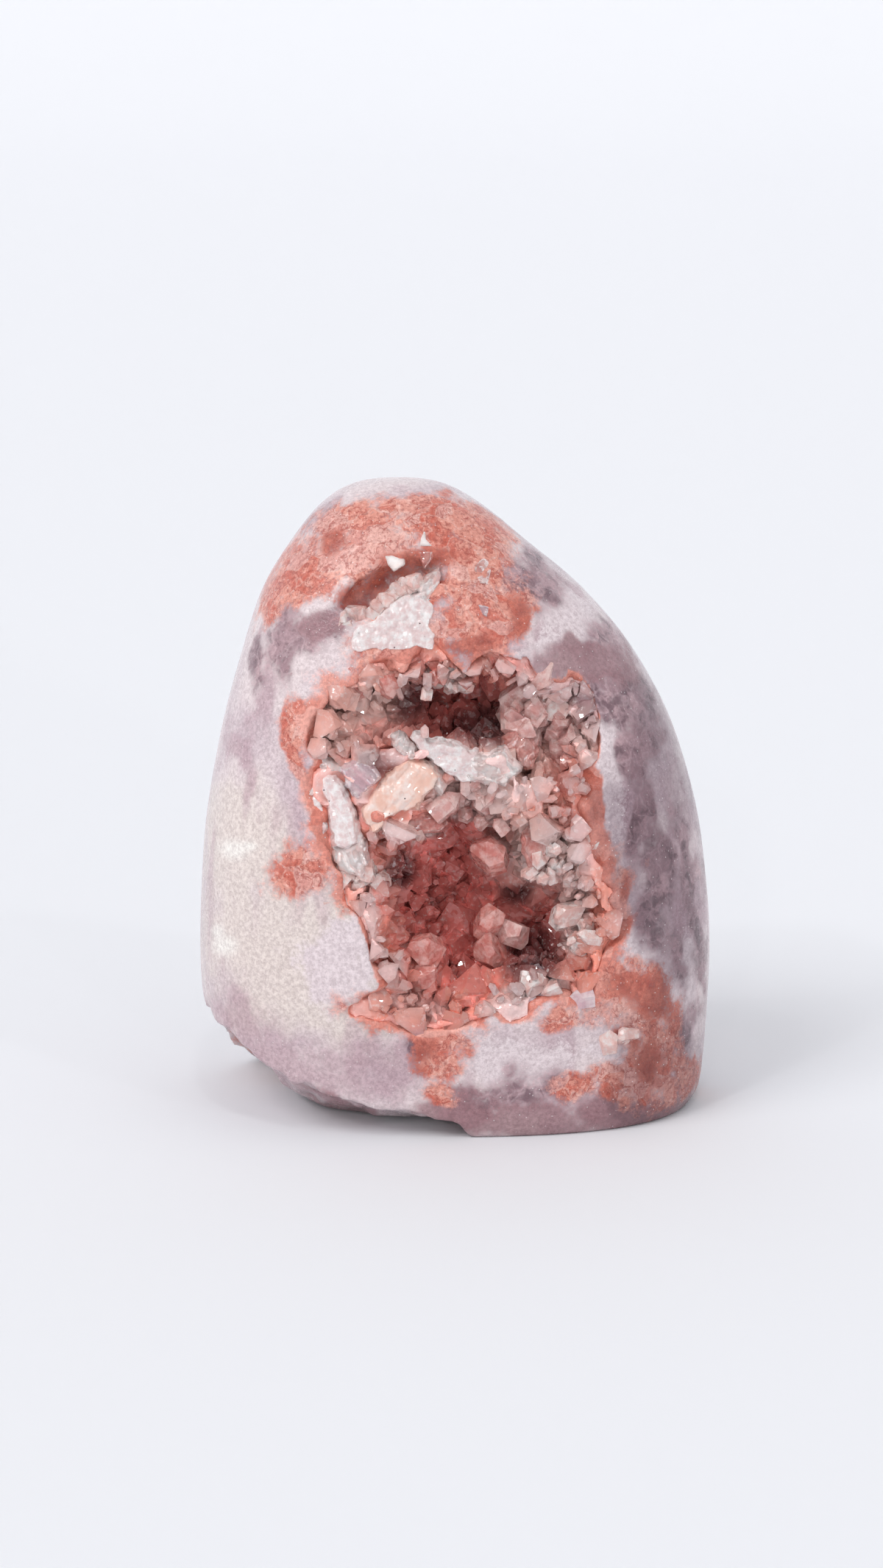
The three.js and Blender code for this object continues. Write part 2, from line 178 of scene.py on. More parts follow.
# Large crystals with outlines of their own, in photo pixels. "deep" is how far under the polished
# skin their front lies at its left and right ends, and "thick" their thickness, in millimetres.
# "bevel" is the width of their sloped edge in pixels. "facets" has the angle of the facets' length
# in degrees, how drawn out they are, and their width and height in millimetres.
PLAIN = (0, 1.0, 1.0, 0.0)  # no facets
SLABS = {
    "plate": dict(
        outline=[(473, 866), (486, 846), (508, 838), (528, 818), (548, 806), (578, 802), (592, 818),
                 (588, 848), (596, 862), (589, 884), (566, 880), (540, 884), (516, 882), (490, 886),
                 (475, 880)],
        deep=(-0.4, -0.3), thick=3.0, bevel=3, facets=(10, 1.2, 0.9, 0.28), look="milky"),
    "ledge_tip": dict(
        outline=[(560, 800), (566, 786), (584, 776), (598, 769), (602, 784), (597, 806), (590, 822),
                 (574, 824)],
        deep=(-0.6, -0.5), thick=3.0, bevel=7, facets=(50, 2.6, 1.3, 0.9), look="glassy"),
    "bright_shard": dict(
        outline=[(521, 754), (533, 753), (551, 760), (551, 768), (535, 778), (527, 768)],
        deep=(-0.25, -0.25), thick=1.2, bevel=2, facets=PLAIN, look="bright"),
    "tall_shard": dict(
        outline=[(578, 714), (580, 732), (591, 743), (569, 743), (571, 730)],
        deep=(-0.25, -0.25), thick=1.2, bevel=2, facets=PLAIN, look="bright"),
    "column": dict(
        outline=[(434, 1052), (446, 1042), (458, 1046), (472, 1068), (486, 1102), (494, 1132), (498, 1150),
                 (470, 1158), (448, 1154), (444, 1120), (440, 1092), (431, 1070)],
        deep=(0.4, 0.0), thick=5.0, bevel=9, facets=(-68, 5.0, 1.5, 0.8), look="milky"),
    "column_end": dict(
        outline=[(447, 1142), (470, 1146), (496, 1134), (504, 1158), (503, 1182), (496, 1197), (476, 1190),
                 (456, 1186), (449, 1168)],
        deep=(0.6, 0.1), thick=5.0, bevel=8, facets=(-68, 2.6, 1.6, 1.2), look="glassy"),
    "column_side": dict(
        outline=[(420, 1078), (430, 1060), (440, 1086), (446, 1120), (446, 1146), (430, 1136), (417, 1112)],
        deep=(1.2, 0.8), thick=3.0, bevel=5, facets=(-75, 2.2, 1.2, 0.9), look="milky"),
    "spike": dict(
        outline=[(429, 1016), (438, 1008), (446, 1022), (462, 1034), (482, 1040), (470, 1052), (446, 1054),
                 (431, 1044)],
        deep=(0.8, 1.2), thick=3.0, bevel=6, facets=(-40, 2.6, 1.3, 1.0), look="glassy"),
    "fan": dict(
        outline=[(458, 1042), (474, 1031), (490, 1026), (502, 1031), (513, 1044), (521, 1056), (512, 1068),
                 (498, 1077), (488, 1088), (477, 1083), (469, 1068)],
        deep=(0.4, 0.3), thick=3.2, bevel=7, facets=(-42, 7.0, 0.8, 0.45), look="lilac"),
    "peach_blade": dict(
        outline=[(546, 1030), (562, 1022), (578, 1031), (593, 1041), (601, 1053), (594, 1068), (580, 1082),
                 (570, 1101), (546, 1106), (529, 1113), (527, 1123), (513, 1133), (500, 1138), (497, 1124),
                 (485, 1101), (492, 1088), (506, 1070), (520, 1053), (533, 1040)],
        deep=(0.4, 0.8), thick=4.5, bevel=7, facets=(52, 3.4, 2.3, 0.9), look="peach"),
    "bridge_root": dict(
        outline=[(528, 1014), (531, 1000), (541, 988), (552, 993), (560, 1008), (574, 1028), (560, 1034),
                 (546, 1032)],
        deep=(1.0, 0.8), thick=4.0, bevel=7, facets=(60, 2.4, 1.2, 1.0), look="glassy"),
    "bridge_arm": dict(
        outline=[(556, 1003), (563, 992), (574, 990), (586, 1001), (606, 1003), (632, 1010), (652, 1017),
                 (656, 1040), (650, 1064), (626, 1066), (611, 1056), (592, 1042), (574, 1030)],
        deep=(0.5, 1.2), thick=4.5, bevel=6, facets=(-14, 3.0, 1.3, 0.8), look="milky"),
    "arm_end": dict(
        outline=[(640, 1020), (668, 1012), (688, 1010), (700, 1024), (713, 1042), (715, 1050), (701, 1060),
                 (690, 1071), (670, 1073), (650, 1067), (634, 1066), (622, 1048)],
        deep=(0.6, 0.7), thick=4.5, bevel=9, facets=(-18, 2.2, 1.3, 1.3), look="glassy"),
    "pink_blade": dict(
        outline=[(526, 1118), (545, 1106), (575, 1101), (600, 1109), (614, 1118), (600, 1131), (562, 1138),
                 (536, 1136)],
        deep=(3.0, 3.6), thick=3.0, bevel=6, facets=(10, 3.2, 1.6, 0.9), look="rose"),
    "tall_crystal": dict(
        outline=[(705, 1128), (724, 1113), (744, 1128), (751, 1158), (738, 1188), (716, 1182), (706, 1154)],
        deep=(2.6, 2.2), thick=4.0, bevel=9, facets=(85, 2.2, 2.8, 1.2), look="rose"),
    "salmon_crystal": dict(
        outline=[(680, 1000), (700, 986), (726, 994), (736, 1020), (728, 1048), (712, 1050), (694, 1030),
                 (680, 1018)],
        deep=(2.8, 2.4), thick=4.0, bevel=10, facets=(60, 1.8, 2.4, 1.2), look="rose"),
    # flat facets that show under the polish
    "kite": dict(outline=[(567, 746), (591, 746), (588, 760), (577, 774), (571, 762)],
                 deep=(-0.2, -0.2), thick=1.6, bevel=3, facets=PLAIN, look="rose"),
    "dark_facet": dict(outline=[(640, 772), (658, 748), (672, 768), (668, 800), (648, 798)],
                       deep=(-0.2, -0.2), thick=1.6, bevel=4, facets=(60, 1.6, 1.6, 0.3), look="smoky"),
    "pale_facet": dict(outline=[(646, 818), (666, 823), (663, 841), (655, 836)],
                       deep=(-0.2, -0.2), thick=1.2, bevel=2, facets=PLAIN, look="lilac"),
}

# Single crystals: the tip's photo place and depth under the skin, width, length, the way they point
SINGLES = [
    ("lens", 750, 958, 0.6, 7.6, 8.0, (0.7, -0.7, 0.45), "smoky"),
    ("lens_side", 778, 976, 0.9, 4.6, 6.0, (0.8, -0.55, -0.3), "clear"),
    ("round", 783, 1234, 0.4, 4.6, 6.0, (0.3, -0.8, 0.5), "clear"),
    ("bowl_left", 556, 1278, 1.0, 4.4, 7.6, (-0.55, -0.7, 0.5), "rose"),
    ("bowl_left_low", 592, 1318, 1.8, 3.8, 6.4, (0.5, -0.7, 0.5), "rose"),
    ("bowl_middle", 640, 1276, 5.2, 4.2, 8.4, (-0.5, -0.7, 0.55), "rose"),
    ("bowl_top", 660, 1142, 4.4, 5.0, 8.0, (-0.15, -0.75, 0.65), "rose"),
    ("bowl_violet", 722, 1250, 5.0, 4.6, 7.0, (0.5, -0.65, 0.6), "smoky"),
    ("bowl_orange", 676, 1226, 6.2, 4.2, 7.6, (0.3, -0.6, 0.75), "rose"),
    ("under_arm", 640, 1098, 2.8, 5.6, 7.6, (-0.5, -0.7, -0.45), "smoky"),
    ("under_blade", 602, 1084, 2.4, 3.2, 6.0, (0.2, -0.5, -0.8), "clear"),
    ("petal_high", 828, 1390, -0.7, 3.2, 5.4, (0.0, -0.35, 0.9), "clear"),
    ("petal_low", 862, 1402, -0.7, 3.0, 6.4, (0.85, -0.4, 0.3), "clear"),
    ("petal_root", 836, 1408, -0.5, 3.0, 4.4, (-0.6, -0.6, 0.1), "clear"),
]
# Clusters of small crystals: an ellipse in photo pixels, count, widths, depths under the skin
CLUSTERS = [
    ("lens_cluster", (752, 962, 54, 40), 44, (2.4, 4.6), (1.2, 3.6), "smoky"),
    ("white_cluster", (750, 1168, 46, 28), 34, (1.8, 3.4), (0.8, 2.4), "clear"),
    ("sparkle_cluster", (788, 1276, 16, 20), 14, (1.4, 2.6), (0.6, 1.6), "clear"),
    ("low_cluster", (706, 1366, 36, 18), 22, (2.0, 4.0), (0.8, 2.4), "clear"),
    ("low_lilac_cluster", (748, 1358, 20, 20), 12, (2.2, 3.8), (0.9, 2.2), "lilac"),
    ("arm_cluster", (650, 1092, 46, 22), 22, (2.0, 4.0), (3.4, 5.0), "smoky"),
    ("column_cluster", (428, 1104, 13, 40), 22, (1.4, 2.6), (0.2, 1.2), "clear"),
    ("column_foot", (470, 1204, 34, 14), 20, (1.6, 3.0), (0.2, 1.4), "clear"),
    ("slope_cluster", (480, 912, 34, 16), 20, (1.8, 3.4), (0.4, 1.8), "rose"),
    ("sill_cluster", (606, 925, 30, 10), 14, (1.4, 2.6), (2.0, 3.6), "clear"),
]
# Small clear points that stand along the ledge: pixel place, and length and width in millimetres
LEDGE_POINTS = [
    (468, 838, 2.4, 2.6), (479, 832, 3.0, 3.0), (492, 834, 2.6, 2.4), (503, 834, 2.8, 2.8),
    (514, 826, 3.0, 2.4), (524, 817, 3.2, 2.8), (533, 808, 3.0, 2.4), (542, 801, 3.4, 3.0),
    (552, 796, 3.0, 2.6), (562, 792, 3.6, 3.0), (474, 848, 2.6, 3.0), (486, 842, 2.2, 2.4),
    (463, 850, 2.0, 2.4),
]


def smooth(t):
    t = np.clip(t, 0, 1)
    return t * t * (3 - 2 * t)


def unit(vector):
    return vector / np.linalg.norm(vector)


def blend_min(a, b, width):
    """The smaller of two fields, rounded where they cross."""
    h = np.clip(0.5 + 0.5 * (b - a) / width, 0, 1)
    return b + (a - b) * h - width * h * (1 - h)


def blend_max(a, b, width):
    return -blend_min(-a, -b, width)


# Fields on the grid: negative inside, in about millimetres near the surface

axes = [np.arange(low, high, CELL) for low, high in zip(GRID_LOW, GRID_HIGH)]
grid_x, grid_y, grid_z = np.meshgrid(*axes, indexing="ij", sparse=True)


def dome_share(z):
    return np.sqrt(np.clip(1 - z / HEIGHT, 0, None))


def outline_curve(column, u):
    """Monotone cubic curve through one column of the outline, over the dome's share."""
    xs = dome_share(OUTLINE[:, 0])
    ys = OUTLINE[:, column]
    step = np.diff(xs)
    slope = np.diff(ys) / step
    tangent = np.zeros(len(xs))
    tangent[0] = slope[0]
    tangent[-1] = slope[-1]
    for i in range(1, len(slope)):
        before, after = slope[i - 1], slope[i]
        if before * after > 0:
            w1 = 2 * step[i] + step[i - 1]
            w2 = step[i] + 2 * step[i - 1]
            tangent[i] = (w1 + w2) / (w1 / before + w2 / after)
    i = np.clip(np.searchsorted(xs, u, side="right") - 1, 0, len(slope) - 1)
    h = step[i]
    t = (u - xs[i]) / h
    near = (1 + 2 * t) * (1 - t) ** 2 * ys[i] + t * (1 - t) ** 2 * h * tangent[i]
    far = t * t * (3 - 2 * t) * ys[i + 1] + t * t * (t - 1) * h * tangent[i + 1]
    return near + far


def block_field(x, y, z):
    """Zero on the block's skin, and smooth through the crown."""
    u = np.maximum(dome_share(z), 0.02)
    spine = CROWN_X + (FOOT_X - CROWN_X) * (1 - z / HEIGHT)
    left = (spine - outline_curve(1, u)) / u
    right = (outline_curve(2, u) - spine) / u
    front = (MIDDLE_Y - outline_curve(3, u)) / u
    back = (outline_curve(4, u) - MIDDLE_Y) / u
    right_power = RIGHT_POWER + FOOT_SQUARENESS * smooth((FOOT_ZONE - z) / FOOT_ZONE)
    dx = x - spine
    dy = y - MIDDLE_Y
    power = np.where(dx < 0, LEFT_POWER, right_power)
    across = np.abs(dx) / np.where(dx < 0, left, right)
    deep = np.abs(dy) / np.where(dy < 0, front, back)
    size = (across ** power + deep ** power) ** (1 / power)
    return size * size - (1 - z / HEIGHT)


def as_distance(field):
    slopes = np.gradient(field, CELL)
    steep = np.sqrt(sum(s * s for s in slopes))
    return field / np.maximum(steep, 1e-4)


def lobe_field(lobe, x, y, z):
    (cx, cy, cz), radii, turn = lobe
    angle = math.radians(turn)
    dx, dy, dz = x - cx, y - cy, z - cz
    along = dx * math.cos(angle) + dz * math.sin(angle)
    up = -dx * math.sin(angle) + dz * math.cos(angle)
    near = np.sqrt((along / radii[0]) ** 2 + (dy / radii[1]) ** 2 + (up / radii[2]) ** 2)
    steep = np.sqrt((along / radii[0] ** 2) ** 2 + (dy / radii[1] ** 2) ** 2 + (up / radii[2] ** 2) ** 2)
    return near * (near - 1) / np.maximum(steep, 1e-4)


def hollow_field(x, y, z, width=2.0):
    field = None
    for lobe in LOBES.values():
        one = lobe_field(lobe, x, y, z)
        field = one if field is None else blend_min(field, one, width)
    return field


def weights(places, spacing, count):
    """The shares of a coarse lattice's points at each place along one axis."""
    at = (places - places[0]) / spacing
    low = np.floor(at).astype(int)
    t = smooth(at - low)
    table = np.zeros((len(places), count))
    rows = np.arange(len(places))
    table[rows, low] = 1 - t
    table[rows, low + 1] += t
    return table


def grid_noise(spacing, seed):
    """Smooth random numbers from -1 to 1 on the grid, over a lattice of that spacing."""
    counts = [int((axis[-1] - axis[0]) / spacing) + 3 for axis in axes]
    lattice = np.random.default_rng(seed).uniform(-1, 1, counts)
    wx, wy, wz = (weights(axis, spacing, n) for axis, n in zip(axes, counts))
    part = np.tensordot(wx, lattice, (1, 0))
    part = np.tensordot(part, wy, (1, 1))
    return np.tensordot(part, wz, (1, 1)).astype(np.float32)


def underside_height(x, y):
    """How high the rough break is above the floor."""
    one = np.ones(1)
    left, right, front, back = (outline_curve(c, one)[0] for c in (1, 2, 3, 4))
    dx, dy = x - FOOT_X, y - MIDDLE_Y
    power = np.where(dx < 0, LEFT_POWER, RIGHT_POWER + FOOT_SQUARENESS)
    across = np.abs(dx) / np.where(dx < 0, FOOT_X - left, right - FOOT_X)
    deep = np.abs(dy) / np.where(dy < 0, MIDDLE_Y - front, back - MIDDLE_Y)
    v = (across ** power + deep ** power) ** (1 / power)
    rim = RIM_HEIGHT + RIM_CURVE * x * x
    to_left = smooth((RIM_END[1] - x) / (RIM_END[1] - RIM_END[0]))
    to_front = smooth((RIM_BACK[1] - y) / (RIM_BACK[1] - RIM_BACK[0]))
    return rim * to_left * to_front * smooth((v - FLAT_SHARE) / (1 - FLAT_SHARE))


def mesh_from(field, name, cell=CELL, low=GRID_LOW):
    """A closed mesh on the field's zero, smooth shaded."""
    band = 3 * cell
    near = np.clip(field, -band, band).astype(np.float32)
    for axis in range(3):
        edge = [slice(None)] * 3
        for end in (0, -1):
            edge[axis] = end
            near[tuple(edge)] = band
    grid = openvdb.FloatGrid(band)
    grid.copyFromArray(near)
    points, triangles, quads = grid.convertToPolygons(0.0, 0.0)
    points = (points * cell + np.array(low)) * MM
    mesh = bpy.data.meshes.new(name)
    faces = [tuple(q[::-1]) for q in quads.tolist()] + [tuple(t[::-1]) for t in triangles.tolist()]
    mesh.from_pydata(points.tolist(), [], faces)
    mesh.shade_smooth()
    mesh.update()
    return mesh


def in_scene(name, data):
    made = bpy.data.objects.new(name, data)
    bpy.context.scene.collection.objects.link(made)
    return made


def modified(mesh, kind, **settings):
    """The mesh with one modifier applied, as a new mesh."""
    holder = in_scene("holder", mesh)
    modifier = holder.modifiers.new("applied", kind)
    for name, value in settings.items():
        setattr(modifier, name, value)
    depsgraph = bpy.context.evaluated_depsgraph_get()
    made = bpy.data.meshes.new_from_object(holder.evaluated_get(depsgraph))
    bpy.data.objects.remove(holder)
    return made


def shown(name, mesh, material, slot, *nodes):
    """A finished piece that rides the part's one body."""
    piece = in_scene(name, mesh)
    mesh.materials.clear()
    mesh.materials.append(material)
    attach(piece, "root")
    if nodes:
        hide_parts(*nodes)


def corner_shares(t):
    """The corners of a grid's cell, each with its share of the places t inside the cell."""
    for corner in itertools.product((0, 1), repeat=3):
        yield corner, np.prod([t[:, k] if corner[k] else 1 - t[:, k] for k in range(3)], axis=0)


def sample_grid(field, points):
    """The field's value at points in millimetres."""
    at = (points - np.array(GRID_LOW)) / CELL
    low = np.clip(np.floor(at).astype(int), 0, np.array(field.shape) - 2)
    t = at - low
    value = np.zeros(len(points))
    for corner, share in corner_shares(t):
        i, j, k = (low + corner).T
        value += share * field[i, j, k]
    return value


def photo_place(points):
    """Where points in millimetres are in the photo, in its pixels."""
    offset = points - EYE
    depth = -(offset @ VIEW_BACK)
    px = PHOTO_SIZE[0] / 2 + PHOTO_FOCAL * offset[:, 0] / depth
    py = PHOTO_SIZE[1] / 2 - PHOTO_FOCAL * (offset @ VIEW_UP) / depth
    return px, py


def skin_place(px, py, deep):
    """The point under a photo pixel, that far under the block's skin along the view, in millimetres."""
    across = (px - PHOTO_SIZE[0] / 2) / PHOTO_FOCAL
    rise = (PHOTO_SIZE[1] / 2 - py) / PHOTO_FOCAL
    ray = unit(-VIEW_BACK + VIEW_UP * rise + np.array([1.0, 0, 0]) * across)
    steps = np.arange(CAMERA_DISTANCE - SEARCH, CAMERA_DISTANCE + SEARCH, SEARCH_STEP)
    values = sample_grid(block, EYE + steps[:, None] * ray)
    first = int(np.argmax(values < 0))
    crossing = steps[first] - SEARCH_STEP * values[first] / (values[first] - values[first - 1])
    return EYE + (crossing + deep) * ray


def zone(px, py, ellipses):
    """1 well inside any of the ellipses, 0.5 on their edge and 0 outside."""
    outside = np.ones(len(px))
    for cx, cy, rx, ry, turn in ellipses:
        angle = math.radians(turn)
        dx, dy = px - cx, py - cy
        along = dx * math.cos(angle) + dy * math.sin(angle)
        across = dy * math.cos(angle) - dx * math.sin(angle)
        r = np.sqrt((along / rx) ** 2 + (across / ry) ** 2)
        outside *= 1 - smooth((1.75 - r) / 1.5)
    return 1 - outside


def point_noise(points, spacing, seed):
    """Smooth random numbers from 0 to 1 at points in millimetres."""
    lattice = np.random.default_rng(seed).uniform(0, 1, (64, 64, 64))
    at = points / spacing + 20
    low = np.floor(at).astype(int)
    t = smooth(at - low)
    value = np.zeros(len(points))
    for corner, share in corner_shares(t):
        i, j, k = (low + corner).T % 64
        value += share * lattice[i, j, k]
    return value


def corner_points(mesh):
    co = np.zeros(len(mesh.vertices) * 3)
    mesh.vertices.foreach_get("co", co)
    return co.reshape(-1, 3) / MM


def paint(mesh, name, values):
    """A soft number on every corner of the mesh, for the material to read."""
    attribute = mesh.attributes.new(name, "FLOAT", "POINT")
    attribute.data.foreach_set("value", np.asarray(values, np.float32))


def layered_noise(points, spacing, seed, layers=3):
    """Noise of several sizes, each half the one before, from 0 to 1."""
    total = sum(point_noise(points, spacing / 2 ** i, seed + i) * 0.55 ** i for i in range(layers))
    return total / sum(0.55 ** i for i in range(layers))


def warped_place(points, seed, reach=(34, 34)):
    """Photo places pushed about by noise, so that zones have natural outlines."""
    px, py = photo_place(points)
    push_x = layered_noise(points, 9, seed) - 0.5
    push_y = layered_noise(points, 9, seed + 10) - 0.5
    return px + 2 * reach[0] * push_x, py + 2 * reach[1] * push_y


def front_share(points):
    """1 on the front, and 0 on the back, which has no photo to follow."""
    return smooth((8 - points[:, 1]) / 12)


def paint_zones(mesh, points):
    front = front_share(points)
    for i, (name, ellipses) in enumerate(ZONES.items()):
        px, py = warped_place(points, SEEDS["back"] + 20 * i)
        clouds = layered_noise(points * (1, 1, 0.7), 15, SEEDS["back"] + 7 + 20 * i)
        behind = smooth((clouds - 0.42) / 0.3)
        ragged = 0.9 * (layered_noise(points, 4.5, SEEDS["back"] + 13 + 20 * i) - 0.5)
        value = front * zone(px, py, ellipses) + (1 - front) * 0.7 * behind
        paint(mesh, name, np.clip(value + ragged * (value > 0.02), 0, 1))


def paint_stone(mesh):
    points = corner_points(mesh)
    paint_zones(mesh, points)
    px, py = photo_place(points)
    paint(mesh, "spots", front_share(points) * zone(px, py, SPOTS))
    paint(mesh, "clouds", layered_noise(points, 11, SEEDS["skin"]))
    paint(mesh, "streaks", layered_noise(points * (1, 1, 0.28), 4.2, SEEDS["skin"] + 5))
    patches = smooth(3 * layered_noise(points, 9, SEEDS["wall"] + 60) - 1.0)
    off_wall = np.abs(sample_grid(hollow, points))
    near_hollow = smooth(1.2 - off_wall / (1.2 + 2.4 * patches))
    stained = 0.15 + 0.85 * zone(px, py, ZONES["orange"])
    in_wall = smooth(1.5 - off_wall / 0.6)
    paint(mesh, "wall", np.maximum(in_wall, near_hollow * stained) * front_share(points))


def paint_druse(mesh):
    points = corner_points(mesh)
    below = -sample_grid(block, points)
    paint_zones(mesh, points)
    ragged = 2.4 * (layered_noise(points, 3.4, SEEDS["druse"] + 50) - 0.5)
    paint(mesh, "skin", smooth(1.25 - below / 1.8 + ragged))
    px, py = warped_place(points, SEEDS["druse"], (12, 12))
    paint(mesh, "clear", zone(px, py, CLEAR))
    paint(mesh, "dark", zone(px, py, DARK_CRYSTALS_AND_POCKET_SHADE))
    paint(mesh, "light", zone(px, py, LIGHT))
    paint(mesh, "clouds", layered_noise(points, 7, SEEDS["druse"] + 30))
    paint(mesh, "depth", smooth(below / 16))


# Materials

QUARTZ_IOR = 1.54


def linear(red, green, blue):
    """A colour of 0 to 255 sRGB values as the linear colour a shader takes."""
    values = [v / 255 for v in (red, green, blue)]
    return tuple(v / 12.92 if v <= 0.04045 else ((v + 0.055) / 1.055) ** 2.4 for v in values) + (1,)


class Nodes:
    """Short ways to add shader nodes and join them."""

    def __init__(self, tree):
        self.tree = tree
        self.place = self.vector("MULTIPLY", self.add("TexCoord", {}, "Object"), (1000, 1000, 1000))

    def feed(self, socket, value):
        if isinstance(value, bpy.types.NodeSocket):
            self.tree.links.new(value, socket)
        else:
            socket.default_value = value

    def add(self, kind, fed, output=0, **settings):
        """An output of a new node, after its settings and what feeds its inputs."""
        node = self.tree.nodes.new("ShaderNode" + kind)
        for name, value in settings.items():
            setattr(node, name, value)
        for name, value in fed.items():
            self.feed(node.inputs[name], value)
        return node.outputs[output]

    def math(self, operation, a, b=0.0):
        return self.add("Math", {0: a, 1: b}, operation=operation)

    def vector(self, operation, *values):
        return self.add("VectorMath", dict(enumerate(values)), operation=operation)

    def moved(self, vector, shift, amount):
        """The vector moved by a noise colour, which is 0.5 at rest."""
        centred = self.vector("SUBTRACT", shift, (0.5, 0.5, 0.5))
        return self.vector("MULTIPLY_ADD", centred, (amount, amount, amount), vector)

    def noise(self, scale, detail=2.0, roughness=0.5, place=None, output="Fac"):
        place = self.place if place is None else place
        fed = {"Vector": place, "Scale": scale, "Detail": detail, "Roughness": roughness}
        return self.add("TexNoise", fed, output)

    def cells(self, scale, place, feature="F1", *outputs):
        """Voronoi cells; their colour, or the named outputs."""
        node = self.add("TexVoronoi", {"Vector": place, "Scale": scale}, feature=feature).node
        found = [node.outputs[name] for name in outputs or ("Color",)]
        return found[0] if len(found) == 1 else found

    def step(self, value, low, high, to_low=0.0, to_high=1.0):
        """A soft step of a value between two levels."""
        fed = {"Value": value, "From Min": low, "From Max": high, "To Min": to_low, "To Max": to_high}
        return self.add("MapRange", fed, "Result", interpolation_type="SMOOTHSTEP")

    def mix(self, share, a, b, blend="MIX"):
        return self.add("Mix", {"Factor": share, 6: a, 7: b}, 2, data_type="RGBA", blend_type=blend)

    def painted(self, name):
        return self.add("Attribute", {}, "Fac", attribute_name=name)

    def separate(self, colour, channel):
        return self.add("SeparateColor", {0: colour}, channel)

    def bump(self, height, strength, distance):
        fed = {"Strength": strength, "Distance": distance * MM, "Height": height}
        return self.add("Bump", fed, "Normal")

    def crevice_shade_and_edge_highlight(self, colour, low=0.42, high=0.6, dark=0.74, bright=1.42):
        """The colour with painted shade where crystals meet and painted highlights at their points and edges.
        """
        shade = self.step(self.add("NewGeometry", {}, "Pointiness"), low, high, dark, bright)
        grey = self.add("CombineColor", {0: shade, 1: shade, 2: shade})
        return self.mix(1.0, colour, grey, "MULTIPLY")

    def sparkle(self, scale, tilt):
        """A normal tilted one way in each cell, as the faces of small crystals are."""
        normal = self.add("NewGeometry", {}, "Normal")
        return self.vector("NORMALIZE", self.moved(normal, self.cells(scale, self.place), tilt))


def new_material(name):
    material = bpy.data.materials.new(name)
    material.use_nodes = True
    tree = material.node_tree
    shader = next(n for n in tree.nodes if n.type == "BSDF_PRINCIPLED")
    return material, tree, shader


def quartz(name):
    material, tree, shader = new_material(name)
    shader.inputs["IOR"].default_value = QUARTZ_IOR
    return material, Nodes(tree), shader


